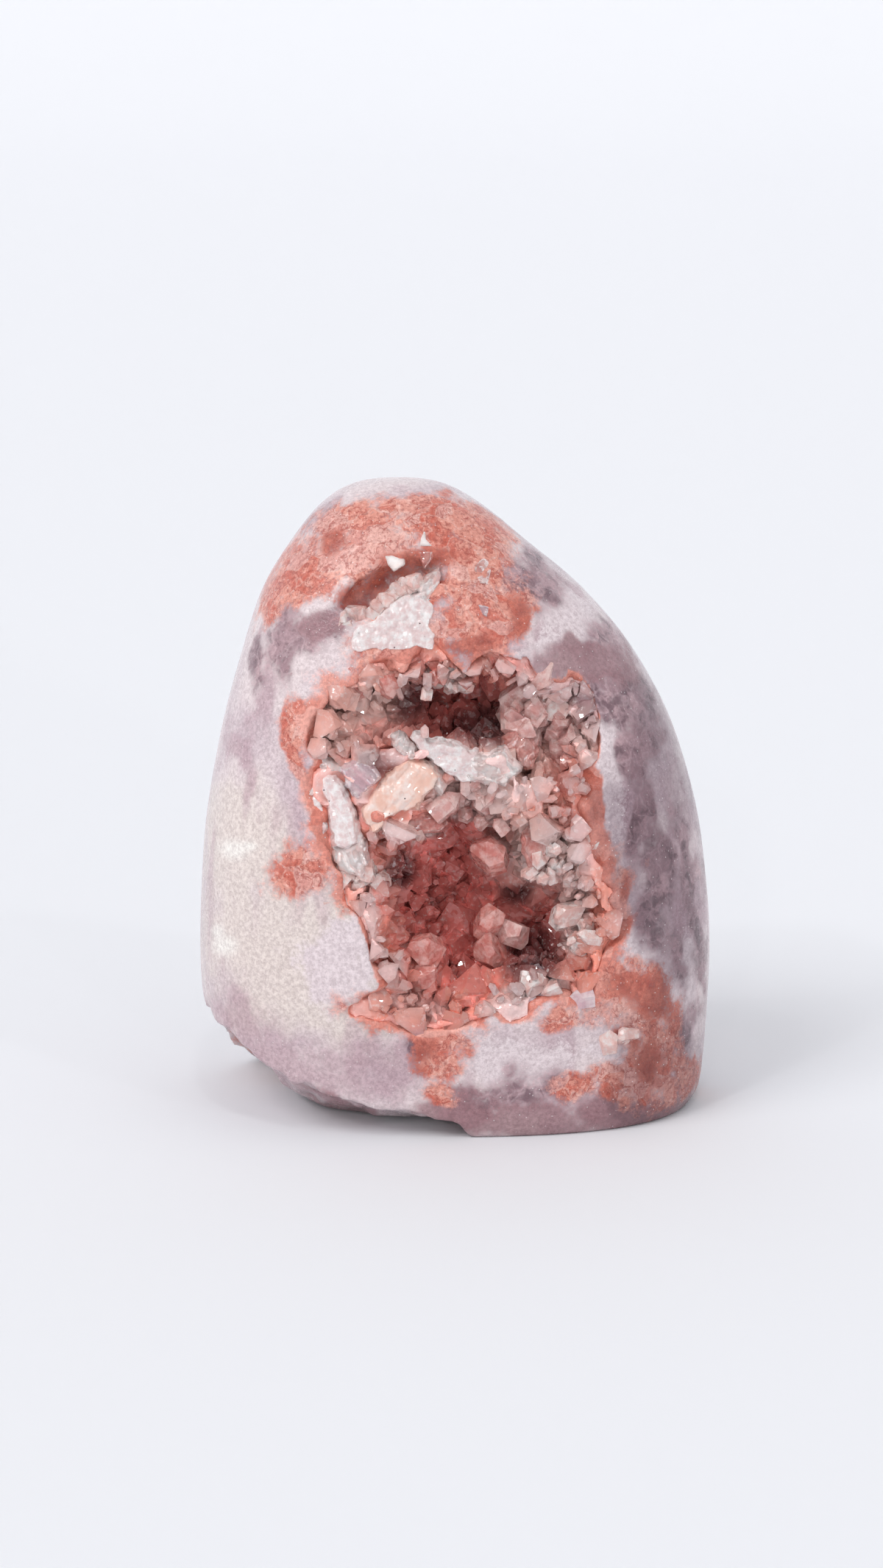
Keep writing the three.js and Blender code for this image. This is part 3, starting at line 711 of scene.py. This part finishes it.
def stone_material():
    material, n, shader = quartz("polished_quartz")
    lumps = n.noise(0.42, 3, 0.6)
    specks = n.noise(1.5, 3, 0.75)
    warp = n.noise(0.33, 1, 0.6, output="Color")
    wavy = n.moved(n.place, warp, 4.0)
    tints = n.cells(0.23, wavy)
    seams = n.cells(0.23, wavy, "DISTANCE_TO_EDGE", "Distance")
    fleck_distance, fleck_colour = n.cells(1.9, n.place, "F1", "Distance", "Color")
    fleck_kind = n.separate(fleck_colour, 0)
    folds = n.noise(0.26, 3, 0.65, wavy)
    veins = n.step(n.math("ABSOLUTE", n.math("SUBTRACT", folds, 0.5)), 0.0, 0.028, 1, 0)
    clouds = n.painted("clouds")
    rough_lumps = n.math("SUBTRACT", lumps, 0.5)
    rough_specks = n.math("SUBTRACT", specks, 0.5)

    def share_of(name, lumpy, grainy, low, high, most=1.0):
        """A painted zone with its edge broken by the lumps and the grain."""
        value = n.math("ADD", n.painted(name), n.math("MULTIPLY", rough_lumps, lumpy))
        value = n.math("ADD", value, n.math("MULTIPLY", rough_specks, grainy))
        return n.step(value, low, high, 0, most)

    # the pale quartz of most of the stone
    pale = n.mix(n.step(clouds, 0.38, 0.62), linear(209, 190, 195), linear(226, 210, 211))
    pale = n.mix(n.step(n.painted("cream"), 0.2, 0.9), pale, linear(226, 212, 206))
    pale = n.mix(n.step(n.painted("streaks"), 0.5, 0.74, 0, 0.45), pale, linear(188, 156, 166))
    # mauve stone, which on the right lobe and flank is painted shade
    pale = n.mix(share_of("mauve_and_right_shade", 0.8, 0.4, 0.3, 1.0, 0.65), pale, linear(182, 148, 158))
    pale = n.mix(share_of("white", 0.8, 0.6, 0.35, 0.75), pale, linear(226, 211, 214))
    pale = n.mix(n.painted("spots"), pale, linear(244, 238, 232))

    # violet and purple-grey quartz, darkest along its folds
    violet = n.mix(n.separate(tints, 0), linear(156, 122, 130), linear(190, 156, 162))
    violet = n.mix(n.step(folds, 0.36, 0.56), linear(112, 80, 90), violet)
    violet = n.mix(n.step(seams, 0.0, 0.07, 0.4, 0), violet, linear(196, 168, 174))
    colour = n.mix(share_of("violet", 0.9, 0.9, 0.25, 0.95, 0.92), pale, violet)
    colour = n.mix(share_of("base", 0.8, 0.5, 0.3, 0.9, 0.8), colour, linear(150, 108, 114))

    # iron stained, from pale salmon to orange and rust, with pale specks that are painted glints
    orange = n.mix(n.step(folds, 0.34, 0.6), linear(200, 92, 70), linear(222, 146, 128))
    orange = n.mix(n.step(n.separate(tints, 1), 0.62, 0.8, 0, 0.5), orange, linear(226, 182, 174))
    orange = n.mix(n.step(seams, 0.0, 0.06, 0.35, 0), orange, linear(236, 196, 184))
    orange = n.mix(n.math("MULTIPLY", veins, 0.75), orange, linear(170, 64, 46))
    # painted glints: pale specks
    orange = n.mix(n.step(specks, 0.56, 0.74, 0, 0.45), orange, linear(240, 206, 196))
    orange = n.mix(n.step(specks, 0.32, 0.48, 0.6, 0), orange, linear(178, 72, 54))
    colour = n.mix(share_of("orange", 1.1, 0.7, 0.3, 0.85, 0.95), colour, orange)
    # rust red, which along the plate's edges is painted crevice shade
    red = n.mix(n.step(lumps, 0.35, 0.65), linear(158, 68, 56), linear(200, 110, 92))
    colour = n.mix(share_of("red", 0.9, 0.8, 0.35, 0.95, 0.9), colour, red)
    deep = n.mix(n.separate(tints, 2), linear(214, 122, 104), linear(236, 170, 156))
    colour = n.mix(share_of("wall", 0.9, 0.5, 0.2, 0.9), colour, deep)

    # painted shade: darker to the right, away from the light
    shaded_colour = n.mix(1.0, colour, (0.58, 0.54, 0.57, 1), "MULTIPLY")
    colour = n.mix(share_of("painted_right_shade", 0.5, 0.2, 0.15, 1.0), colour, shaded_colour)

    # sugary grain, pale and dark flecks
    sugar = n.mix(n.step(specks, 0.3, 0.7), (0.80, 0.77, 0.78, 1), (1.17, 1.18, 1.18, 1))
    colour = n.mix(1.0, colour, sugar, "MULTIPLY")
    dot = n.step(fleck_distance, 0.10, 0.26, 1, 0)
    pale_dot = n.math("MULTIPLY", dot, n.step(fleck_kind, 0.86, 0.88, 0, 0.6))
    colour = n.mix(pale_dot, colour, linear(248, 240, 240))
    small_dot = n.step(fleck_distance, 0.06, 0.16, 1, 0)
    dark_dot = n.math("MULTIPLY", small_dot, n.step(fleck_kind, 0.03, 0.05, 0.75, 0))
    colour = n.mix(dark_dot, colour, linear(104, 60, 62))
    n.feed(shader.inputs["Base Color"], colour)
    n.feed(shader.inputs["Roughness"], n.step(lumps, 0.3, 0.7, 0.14, 0.3))
    n.feed(shader.inputs["Normal"], n.bump(specks, 0.5, 0.25))
    return material


def druse_material():
    material, n, shader = quartz("salmon_quartz")
    specks = n.noise(1.3, 3, 0.7)
    tints = n.cells(0.2, n.place)
    salmon = n.mix(n.step(n.painted("clouds"), 0.35, 0.65), linear(248, 142, 128), linear(254, 198, 190))
    salmon = n.mix(n.step(n.separate(tints, 0), 0.3, 0.9), salmon, linear(248, 156, 138))
    salmon = n.mix(n.painted("depth"), salmon, linear(240, 132, 124))
    salmon = n.mix(n.painted("light"), salmon, linear(255, 208, 198))
    colour = n.mix(n.step(n.painted("clear"), 0.3, 0.7, 0, 0.8), salmon, linear(252, 216, 210))
    # darker crystals, and painted shade in the deeper pockets
    colour = n.mix(n.step(n.painted("dark"), 0.2, 0.9, 0, 0.85), colour, linear(118, 58, 60))
    outer = n.mix(n.painted("orange"), linear(238, 208, 206), linear(234, 144, 122))
    outer = n.mix(n.painted("violet"), outer, linear(180, 142, 146))
    colour = n.mix(n.math("MULTIPLY", n.painted("skin"), 0.75), colour, outer)
    colour = n.mix(n.step(specks, 0.55, 0.72, 0, 0.5), colour, linear(255, 240, 236))
    # painted shade where crystals meet and painted highlights at their points and edges
    n.feed(shader.inputs["Base Color"], n.crevice_shade_and_edge_highlight(colour))
    shader.inputs["Roughness"].default_value = 0.05
    shader.inputs["Transmission Weight"].default_value = 0.14
    n.feed(shader.inputs["Normal"], n.sparkle(1.5, 0.5))
    return material


def crystal_material(name, tint, haze, transmission, haze_size=0.5, pinpoints=0.0, painted_edge_light=True):
    """Quartz of one tint, with cloudy patches of a second and a few dark pinpoints, and by default painted
    shade where crystals meet and painted highlights at their points and edges.
    """
    material, n, shader = quartz(name)
    specks = n.noise(haze_size, 4, 0.7)
    colour = n.mix(n.step(specks, 0.38, 0.66), linear(*tint), linear(*haze))
    if pinpoints:
        distance, kind = n.cells(1.25, n.place, "F1", "Distance", "Color")
        few = n.step(n.separate(kind, 0), 1 - pinpoints, 1.02 - pinpoints)
        dark = n.math("MULTIPLY", n.step(distance, 0.10, 0.20, 1, 0), few)
        colour = n.mix(dark, colour, linear(70, 50, 56))
    # painted shade where crystals meet and painted highlights at their points and edges
    n.feed(shader.inputs["Base Color"], n.crevice_shade_and_edge_highlight(colour) if painted_edge_light else colour)
    shader.inputs["Roughness"].default_value = 0.05
    shader.inputs["Transmission Weight"].default_value = transmission
    n.feed(shader.inputs["Normal"], n.sparkle(1.3, 0.45))
    return material


LOOKS = {
    "clear": dict(tint=(246, 198, 190), haze=(255, 246, 243), transmission=0.5),
    "smoky": dict(tint=(224, 164, 158), haze=(248, 214, 208), transmission=0.5),
    "milky": dict(tint=(238, 212, 211), haze=(255, 250, 249), transmission=0.15, haze_size=0.8,
                  pinpoints=0.14, painted_edge_light=False),
    "bright": dict(tint=(250, 234, 230), haze=(255, 248, 246), transmission=0.05),
    "lilac": dict(tint=(222, 190, 200), haze=(248, 234, 238), transmission=0.5),
    "peach": dict(tint=(250, 202, 184), haze=(255, 234, 226), transmission=0.12, haze_size=0.3,
                  pinpoints=0.05, painted_edge_light=False),
    "rose": dict(tint=(222, 136, 126), haze=(244, 192, 184), transmission=0.5),
    "glassy": dict(tint=(250, 226, 222), haze=(255, 253, 252), transmission=0.5),
}


# The stone

CHIP_SIZE = 2.6
# Roughness of the hollow's wall, of its rim and of the recess: height and width, and a seed's step
WALL_NOISE = [(1.1, 5.5, 0), (0.5, 2.4, 1)]
RIM_NOISE = [(2.4, 4.6, 4), (1.3, 2.0, 5)]
RIM_NOISE_DEPTH = 6.0
RECESS_NOISE = [(0.9, 2.2, 6), (0.7, 4.4, 7)]
STONE_SHARE = 0.76  # of the stone's faces that are kept, so that it stays under 200,000 triangles

block = as_distance(block_field(grid_x, grid_y, grid_z)).astype(np.float32)
chips = grid_noise(CHIP_SIZE, SEEDS["chips"])
under = underside_height(grid_x, grid_y)
rough_under = under + smooth(under / 1.5) * chips
stone_block = blend_max(block, rough_under - grid_z, 0.6)
hollow = hollow_field(grid_x, grid_y, grid_z).astype(np.float32)
for amount, spacing, seed in WALL_NOISE:
    hollow = hollow + amount * grid_noise(spacing, SEEDS["wall"] + seed)
hollow = blend_min(hollow, lobe_field(BLADE_RECESS, grid_x, grid_y, grid_z), 2.0)
near_skin = smooth(1 + block / RIM_NOISE_DEPTH)
rim_noise = sum(amount * grid_noise(spacing, SEEDS["wall"] + seed) for amount, spacing, seed in RIM_NOISE)
hollow = hollow + rim_noise * near_skin
recess = lobe_field(TOP_RECESS, grid_x, grid_y, grid_z)
for amount, spacing, seed in RECESS_NOISE:
    recess = recess + amount * grid_noise(spacing, SEEDS["wall"] + seed)
stone_field = blend_max(stone_block, -hollow, 1.4)
stone_field = blend_max(stone_field, -recess, 0.8)
stone_mesh = modified(mesh_from(stone_field, "stone_body"), "DECIMATE", ratio=STONE_SHARE)
paint_stone(stone_mesh)
shown("stone_body", stone_mesh, stone_material(), "polished_stone", "polished_stone")

# The crust and its small crystals

CRUST = 1.6
OVERLAP = 0.3  # the crust's back is this far inside the stone's wall
LIP = 0.06  # how far below the polished skin the crystals are cut
SHELL_LIP = (0.5, 2.6)  # and the crust behind them ends, more or less

patches = 0.5 + 0.5 * grid_noise(6.0, SEEDS["wall"] + 2)
shell_lip = SHELL_LIP[0] + (SHELL_LIP[1] - SHELL_LIP[0]) * smooth((patches - 0.35) / 0.3)
shell_back = hollow + CRUST + 0.6 * grid_noise(3.0, SEEDS["wall"] + 3)
shell_field = np.maximum(np.maximum(hollow - OVERLAP, -shell_back), block + shell_lip)
druse_shell = mesh_from(shell_field, "druse_shell")


def convex_solid(normals, distances):
    """Corners and faces of the solid inside a set of planes."""
    normals = np.asarray(normals, float)
    distances = np.asarray(distances, float)
    triples = np.array(list(itertools.combinations(range(len(normals)), 3)))
    matrices = normals[triples]
    good = np.abs(np.linalg.det(matrices)) > 1e-6
    triples, matrices = triples[good], matrices[good]
    corners = np.linalg.solve(matrices, distances[triples][..., None])[..., 0]
    inside = (corners @ normals.T <= distances + 1e-6).all(1)
    corners, triples = corners[inside], triples[inside]
    points = []
    for corner in corners:
        same = [i for i, p in enumerate(points) if np.abs(p - corner).max() < 1e-5]
        if not same:
            points.append(corner)
    points = np.array(points)
    faces = []
    for normal, distance in zip(normals, distances):
        members = np.nonzero(np.abs(points @ normal - distance) < 1e-5)[0]
        if len(members) < 3:
            continue
        centre = points[members].mean(0)
        first = unit(points[members[0]] - centre)
        second = np.cross(normal, first)
        offsets = points[members] - centre
        order = np.argsort(np.arctan2(offsets @ second, offsets @ first))
        faces.append(members[order].tolist())
    return points, faces


POINT_TILT = math.radians(51.8)  # of a point's face from the crystal's length


def crystal_solid(width, length, rng, point_spread=0.16, side_spread=0.12):
    """A quartz crystal on the origin along +Z, with three large and three small end faces."""
    normals = [(0, 0, -1)]
    distances = [0.0]
    for i in range(6):
        angle = i * math.pi / 3
        c, s = math.cos(angle), math.sin(angle)
        reach = width / 2 * (1 + side_spread * rng.uniform(-1, 1))
        normals.append((c, s, 0))
        distances.append(reach)
        lead = 0.0 if i % 2 else -0.5
        apex = length + width * (lead * 0.25 + point_spread * rng.uniform(-1, 1))
        sine, cosine = math.sin(POINT_TILT), math.cos(POINT_TILT)
        normals.append((c * sine, s * sine, cosine))
        distances.append(apex * cosine)
    return convex_solid(normals, distances)


def frame_along(direction, turn):
    """Rotation that stands +Z along a direction, after a turn about it."""
    along = Vector(direction).normalized()
    return along.to_track_quat("Z", "Y").to_matrix() @ Matrix.Rotation(turn, 3, "Z")


def crystal_mesh(name, root, direction, width, length, rng, turn=None, **spreads):
    points, faces = crystal_solid(width, length, rng, **spreads)
    turn = rng.uniform(0, math.tau) if turn is None else turn
    rotation = np.array(frame_along(direction, turn))
    placed = points @ rotation.T + np.asarray(root)
    mesh = bpy.data.meshes.new(name)
    mesh.from_pydata((placed * MM).tolist(), [], faces)
    return mesh


def union_of(base, meshes):
    group = bpy.data.collections.new("to_join")
    bpy.context.scene.collection.children.link(group)
    objects = []
    for mesh in meshes:
        member = bpy.data.objects.new(mesh.name, mesh)
        group.objects.link(member)
        objects.append(member)
    made = modified(base, "BOOLEAN", operation="UNION", solver="MANIFOLD", operand_type="COLLECTION",
                    collection=group)
    for member in objects:
        bpy.data.objects.remove(member)
    bpy.data.collections.remove(group)
    return made


def intersection_of(base, cutter):
    member = in_scene("cutter", cutter)
    made = modified(base, "BOOLEAN", operation="INTERSECT", solver="MANIFOLD", object=member)
    bpy.data.objects.remove(member)
    return made


def gradient_at(field, points, step=0.8):
    slopes = []
    for k in range(3):
        offset = np.zeros(3)
        offset[k] = step
        slopes.append(sample_grid(field, points + offset) - sample_grid(field, points - offset))
    slopes = np.array(slopes).T
    return slopes / np.maximum(np.linalg.norm(slopes, axis=1, keepdims=True), 1e-6)


def wall_places(spacing, tries, rng):
    """Places on the hollow's wall, evenly spaced, each with the way into the hollow."""
    wall = mesh_from(np.maximum(hollow + CRUST, block + 0.8), "wall")
    count = len(wall.polygons)
    centres = np.zeros(count * 3)
    areas = np.zeros(count)
    wall.polygons.foreach_get("center", centres)
    wall.polygons.foreach_get("area", areas)
    centres = centres.reshape(-1, 3) / MM
    on_wall = np.abs(sample_grid(hollow, centres) + CRUST) < 0.25
    share = np.where(on_wall, areas, 0)
    picked = rng.choice(count, tries, p=share / share.sum())
    points = centres[picked]
    kept = []
    for i in range(tries):
        if not kept or np.min(np.linalg.norm(points[kept] - points[i], axis=1)) > spacing:
            kept.append(i)
    points = points[kept]
    return points, -gradient_at(hollow, points)


def in_outline(x, y, outline):
    """Whether a photo place is inside an outline."""
    inside = False
    for (x1, y1), (x2, y2) in zip(outline, outline[1:] + outline[:1]):
        if (y1 > y) != (y2 > y) and x < x1 + (y - y1) * (x2 - x1) / (y2 - y1):
            inside = not inside
    return inside


def hides_a_slab(points):
    """Whether any of the points is in front of a crystal that has an outline of its own."""
    px, py = photo_place(points)
    below = -sample_grid(block, points)
    for slab in SLABS.values():
        reach = slab["deep"][0] + 0.7 * slab["thick"]
        for x, y, depth in zip(px, py, below):
            if depth < reach and in_outline(x, y, slab["outline"]):
                return True
    return False


# Sizes of the crust's crystals: spacing, tries, widths, lengths, and how far off the wall they may
# stand
CRYSTAL_SIZES = [
    (3.7, 9000, (4.6, 8.8), (2.6, 6.4), 0.0),
    (2.3, 5000, (1.8, 3.4), (1.4, 3.2), 2.2),
    (1.9, 6000, (1.0, 2.0), (1.0, 2.2), 3.4),
]


def druse_crystals():
    rng = np.random.default_rng(SEEDS["druse"])
    meshes = []
    for spacing, tries, widths, lengths, lift in CRYSTAL_SIZES:
        points, inward = wall_places(spacing, tries, rng)
        below = -sample_grid(block, points)
        for point, way, depth in zip(points, inward, below):
            grown = 0.62 + 0.38 * smooth(depth / 7)
            width = rng.uniform(*widths) * grown
            length = rng.uniform(*lengths) * grown
            direction = unit(way + rng.normal(0, 0.26, 3))
            root = point + direction * (lift * rng.uniform(0, 1) - 1.0)
            tip = root + direction * (length + 1.0)
            if not hides_a_slab(np.array([tip, (root + tip) / 2])):
                meshes.append(crystal_mesh("point", root, direction, width, length + 1.0, rng))
    return meshes


inner_skin = mesh_from(block + LIP, "inner_skin")
druse_mesh = union_of(druse_shell, druse_crystals())
druse_mesh = intersection_of(druse_mesh, inner_skin)
druse_mesh.shade_flat()
paint_druse(druse_mesh)
shown("druse", druse_mesh, druse_material(), "crystal_crust", "crystal_crust")


# Crystals with outlines of their own

SLAB_CELL = 0.2
SLAB_MARGIN = 1.6  # of the grid around a slab
PIXELS_PER_MM = 8
RAGGED = 0.9  # how much the outline of a crystal with facets wanders
EDGE_WIDTH = 0.5  # over which the facets rise from the outline
SMOOTH_ANGLE = math.radians(14)


def outline_depth(xs, zs, corners):
    """How far each place of a flat grid is inside an outline of corners, in millimetres."""
    distance = np.full((len(xs), len(zs)), 1e9)
    inside = np.zeros((len(xs), len(zs)), bool)
    x, z = xs[:, None], zs[None, :]
    for (x1, z1), (x2, z2) in zip(corners, np.roll(corners, -1, axis=0)):
        dx, dz = x2 - x1, z2 - z1
        t = np.clip(((x - x1) * dx + (z - z1) * dz) / (dx * dx + dz * dz), 0, 1)
        distance = np.minimum(distance, np.hypot(x - x1 - t * dx, z - z1 - t * dz))
        if z1 != z2:
            inside ^= ((z1 > z) != (z2 > z)) & (x < x1 + (z - z1) * dx / dz)
    return np.where(inside, distance, -distance)


def crystal_relief(xs, zs, angle, stretch, size, height, rng):
    """Heights of a close group of six-sided points, drawn out along an angle."""
    turn = math.radians(angle)
    along = (xs[:, None] * math.cos(turn) + zs[None, :] * math.sin(turn)) / stretch
    across = zs[None, :] * math.cos(turn) - xs[:, None] * math.sin(turn)
    relief = np.zeros_like(along)
    for u in np.arange(along.min() - size, along.max() + size, size):
        for v in np.arange(across.min() - size, across.max() + size, size):
            du = along - u - size * rng.uniform(-0.5, 0.5)
            dv = across - v - size * rng.uniform(-0.5, 0.5)
            first = rng.uniform(0, math.pi / 3)
            reach = np.zeros_like(du)
            for k in range(3):
                side = first + k * math.pi / 3
                reach = np.maximum(reach, np.abs(du * math.cos(side) + dv * math.sin(side)))
            flat_top = height * rng.uniform(0.5, 1.0)
            relief = np.maximum(relief, np.minimum(flat_top, height * (1.6 - 2.2 * reach / size)))
    return relief


def slab_mesh(name, outline, deep, thick, bevel, facets, rng):
    """A crystal with an outline of its own, bevelled edges and a relief of facets."""
    left, right = min(x for x, y in outline), max(x for x, y in outline)
    middle = [deep[0] + (deep[1] - deep[0]) * (x - left) / (right - left) + thick / 2 for x, y in outline]
    corners = np.array([skin_place(x, y, d) for (x, y), d in zip(outline, middle)])
    low, high = corners.min(0) - thick / 2 - SLAB_MARGIN, corners.max(0) + thick / 2 + SLAB_MARGIN
    xs, ys, zs = (np.arange(a, b, SLAB_CELL) for a, b in zip(low, high))
    depth = outline_depth(xs, zs, corners[:, [0, 2]])
    flat = np.stack([*np.meshgrid(xs, [0.0], zs, indexing="ij")], axis=-1).reshape(-1, 3)
    ragged = layered_noise(flat, 1.3, int(rng.integers(1000)), 2).reshape(depth.shape)
    depth = depth + RAGGED * (ragged - 0.5) * min(1.0, 4 * facets[3])
    slope = thick / 2 / (bevel / PIXELS_PER_MM)
    back = np.clip(depth * slope, None, thick / 2)
    relief = crystal_relief(xs, zs, *facets, rng) if facets[3] else np.zeros_like(back)
    front = back - facets[3] + relief * smooth(depth / EDGE_WIDTH)
    places = np.stack(np.meshgrid(xs, ys, zs, indexing="ij"), axis=-1)
    share = (places[:, 0, 0, 0] - corners[:, 0].min()) / np.ptp(corners[:, 0])
    middle = deep[0] + (deep[1] - deep[0]) * np.clip(share, 0, 1) + thick / 2
    height = sample_grid(block, places.reshape(-1, 3)).reshape(places.shape[:3]) + middle[:, None, None]
    mesh = mesh_from(np.maximum(height - front[:, None, :], -height - back[:, None, :]), name, SLAB_CELL, low)
    mesh.set_sharp_from_angle(angle=SMOOTH_ANGLE)
    return mesh


def slot_at(deep):
    """The solid that a crystal belongs to: the stone where it stands out of the polished skin."""
    return "polished_stone" if deep < 0 else "crystal_crust"


def slabs():
    rng = np.random.default_rng(SEEDS["pits"])
    for name, slab in SLABS.items():
        shape = {key: value for key, value in slab.items() if key != "look"}
        mesh = slab_mesh(name, rng=rng, **shape)
        shown(name, mesh, look_materials[slab["look"]], slot_at(slab["deep"][0]))


def single_crystals():
    rng = np.random.default_rng(SEEDS["pits"] + 2)
    for name, px, py, deep, width, length, way, look in SINGLES:
        direction = unit(np.array(way))
        tip = skin_place(px, py, deep)
        mesh = crystal_mesh(name, tip - direction * length, direction, width, length, rng,
                            point_spread=0.45, side_spread=0.3)
        shown(name + "_crystal", mesh, look_materials[look], slot_at(deep))


def crystal_clusters():
    rng = np.random.default_rng(SEEDS["pits"] + 3)
    for name, (cx, cy, rx, ry), count, widths, depths, look in CLUSTERS:
        meshes = []
        for _ in range(count):
            around, out = rng.uniform(0, math.tau), math.sqrt(rng.uniform(0, 1))
            px, py = cx + rx * out * math.cos(around), cy + ry * out * math.sin(around)
            width = rng.uniform(*widths)
            length = width * rng.uniform(0.9, 1.6) + 1.0
            direction = unit(np.array([0.0, -0.85, 0.2]) + rng.normal(0, 0.42, 3))
            tip = skin_place(px, py, rng.uniform(*depths))
            if not any(in_outline(px, py, slab["outline"]) for slab in SLABS.values()):
                meshes.append(crystal_mesh("point", tip - direction * length, direction, width, length, rng,
                                           point_spread=0.35, side_spread=0.25))
        mesh = union_of(meshes[0], meshes[1:])
        mesh.shade_flat()
        shown(name, mesh, look_materials[look], "crystal_crust")


def ledge_points():
    rng = np.random.default_rng(SEEDS["pits"] + 1)
    meshes = []
    for px, py, length, width in LEDGE_POINTS:
        root = skin_place(px, py, 0.8)
        direction = unit(np.array([-0.25, -0.75, 0.75]) + rng.normal(0, 0.3, 3))
        meshes.append(crystal_mesh("ledge_point", root - 0.8 * direction, direction, width, length, rng))
    mesh = union_of(meshes[0], meshes[1:])
    mesh.shade_flat()
    shown("ledge_points", mesh, look_materials["clear"], "polished_stone")


look_materials = {look: crystal_material(look + "_quartz", **values) for look, values in LOOKS.items()}
slabs()
single_crystals()
crystal_clusters()
ledge_points()


# Floor, light and camera

def backdrop():
    """A pale floor that curves up into a wall behind, in metres."""
    flat, radius, top, half = 2.5, 2.5, 9.0, 40.0
    profile = [(-6.0, 0.0), (flat, 0.0)]
    for i in range(1, 25):
        angle = i / 24 * math.pi / 2
        profile.append((flat + radius * math.sin(angle), radius * (1 - math.cos(angle))))
    profile.append((flat + radius, top))
    points = [(x, y, z) for y, z in profile for x in (-half, half)]
    faces = [(2 * i, 2 * i + 1, 2 * i + 3, 2 * i + 2) for i in range(len(profile) - 1)]
    mesh = bpy.data.meshes.new("backdrop")
    mesh.from_pydata(points, [], faces)
    mesh.shade_smooth()
    piece = in_scene("backdrop", mesh)
    material, _, shader = new_material("pale_paper")
    shader.inputs["Base Color"].default_value = linear(240, 241, 245)
    shader.inputs["Roughness"].default_value = 0.8
    shader.inputs["Specular IOR Level"].default_value = 0.2
    mesh.materials.append(material)


def sun(name, azimuth, elevation, softness, strength):
    """A soft distant light; azimuth 0 comes from the camera's side and 90 from the right."""
    data = bpy.data.lights.new(name, "SUN")
    data.energy = strength
    data.angle = math.radians(softness)
    light = in_scene(name, data)
    a, e = math.radians(azimuth), math.radians(elevation)
    towards = Vector((math.sin(a) * math.cos(e), -math.cos(a) * math.cos(e), math.sin(e)))
    light.rotation_euler = towards.to_track_quat("Z", "Y").to_euler()


# Azimuth, elevation, softness and strength of the main light
KEY = (-50, 48, 28, 0.84)
# Small bright lights whose reflections are the glints: azimuth and elevation
GLINTS = [(-38, 40), (42, 34), (-10, 20), (10, 66), (-70, 20), (20, 12)]
GLINT_SOFTNESS = 3
GLINT_STRENGTH = 0.13
WORLD_COLOUR = (0.98, 0.985, 1.0, 1)
WORLD_STRENGTH = 0.64
# How often light bounces, kept low for the time that a render takes
BOUNCES = {"max_bounces": 5, "diffuse_bounces": 2, "glossy_bounces": 2, "transmission_bounces": 4}

backdrop()
sun("key", *KEY)
for i, (azimuth, elevation) in enumerate(GLINTS):
    sun("glint_" + str(i), azimuth, elevation, GLINT_SOFTNESS, GLINT_STRENGTH)
cycles = bpy.context.scene.cycles
cycles.use_light_tree = False
for name, count in BOUNCES.items():
    setattr(cycles, name, count)
world = bpy.data.worlds.new("white_room")
bpy.context.scene.world = world
world.use_nodes = True
background = world.node_tree.nodes["Background"]
background.inputs["Color"].default_value = WORLD_COLOUR
background.inputs["Strength"].default_value = WORLD_STRENGTH

camera_data = bpy.data.cameras.new("camera")
camera_data.sensor_width = 36
camera_data.lens = PHOTO_FOCAL / max(PHOTO_SIZE) * camera_data.sensor_width
camera = in_scene("camera", camera_data)
camera_back = Vector((0, -math.cos(CAMERA_ELEVATION), math.sin(CAMERA_ELEVATION)))
camera.location = (Vector(CAMERA_TARGET) + CAMERA_DISTANCE * camera_back) * MM
camera.rotation_euler = (-camera_back).to_track_quat("-Z", "Y").to_euler()
bpy.context.scene.camera = camera
bpy.context.scene.view_settings.view_transform = "Standard"
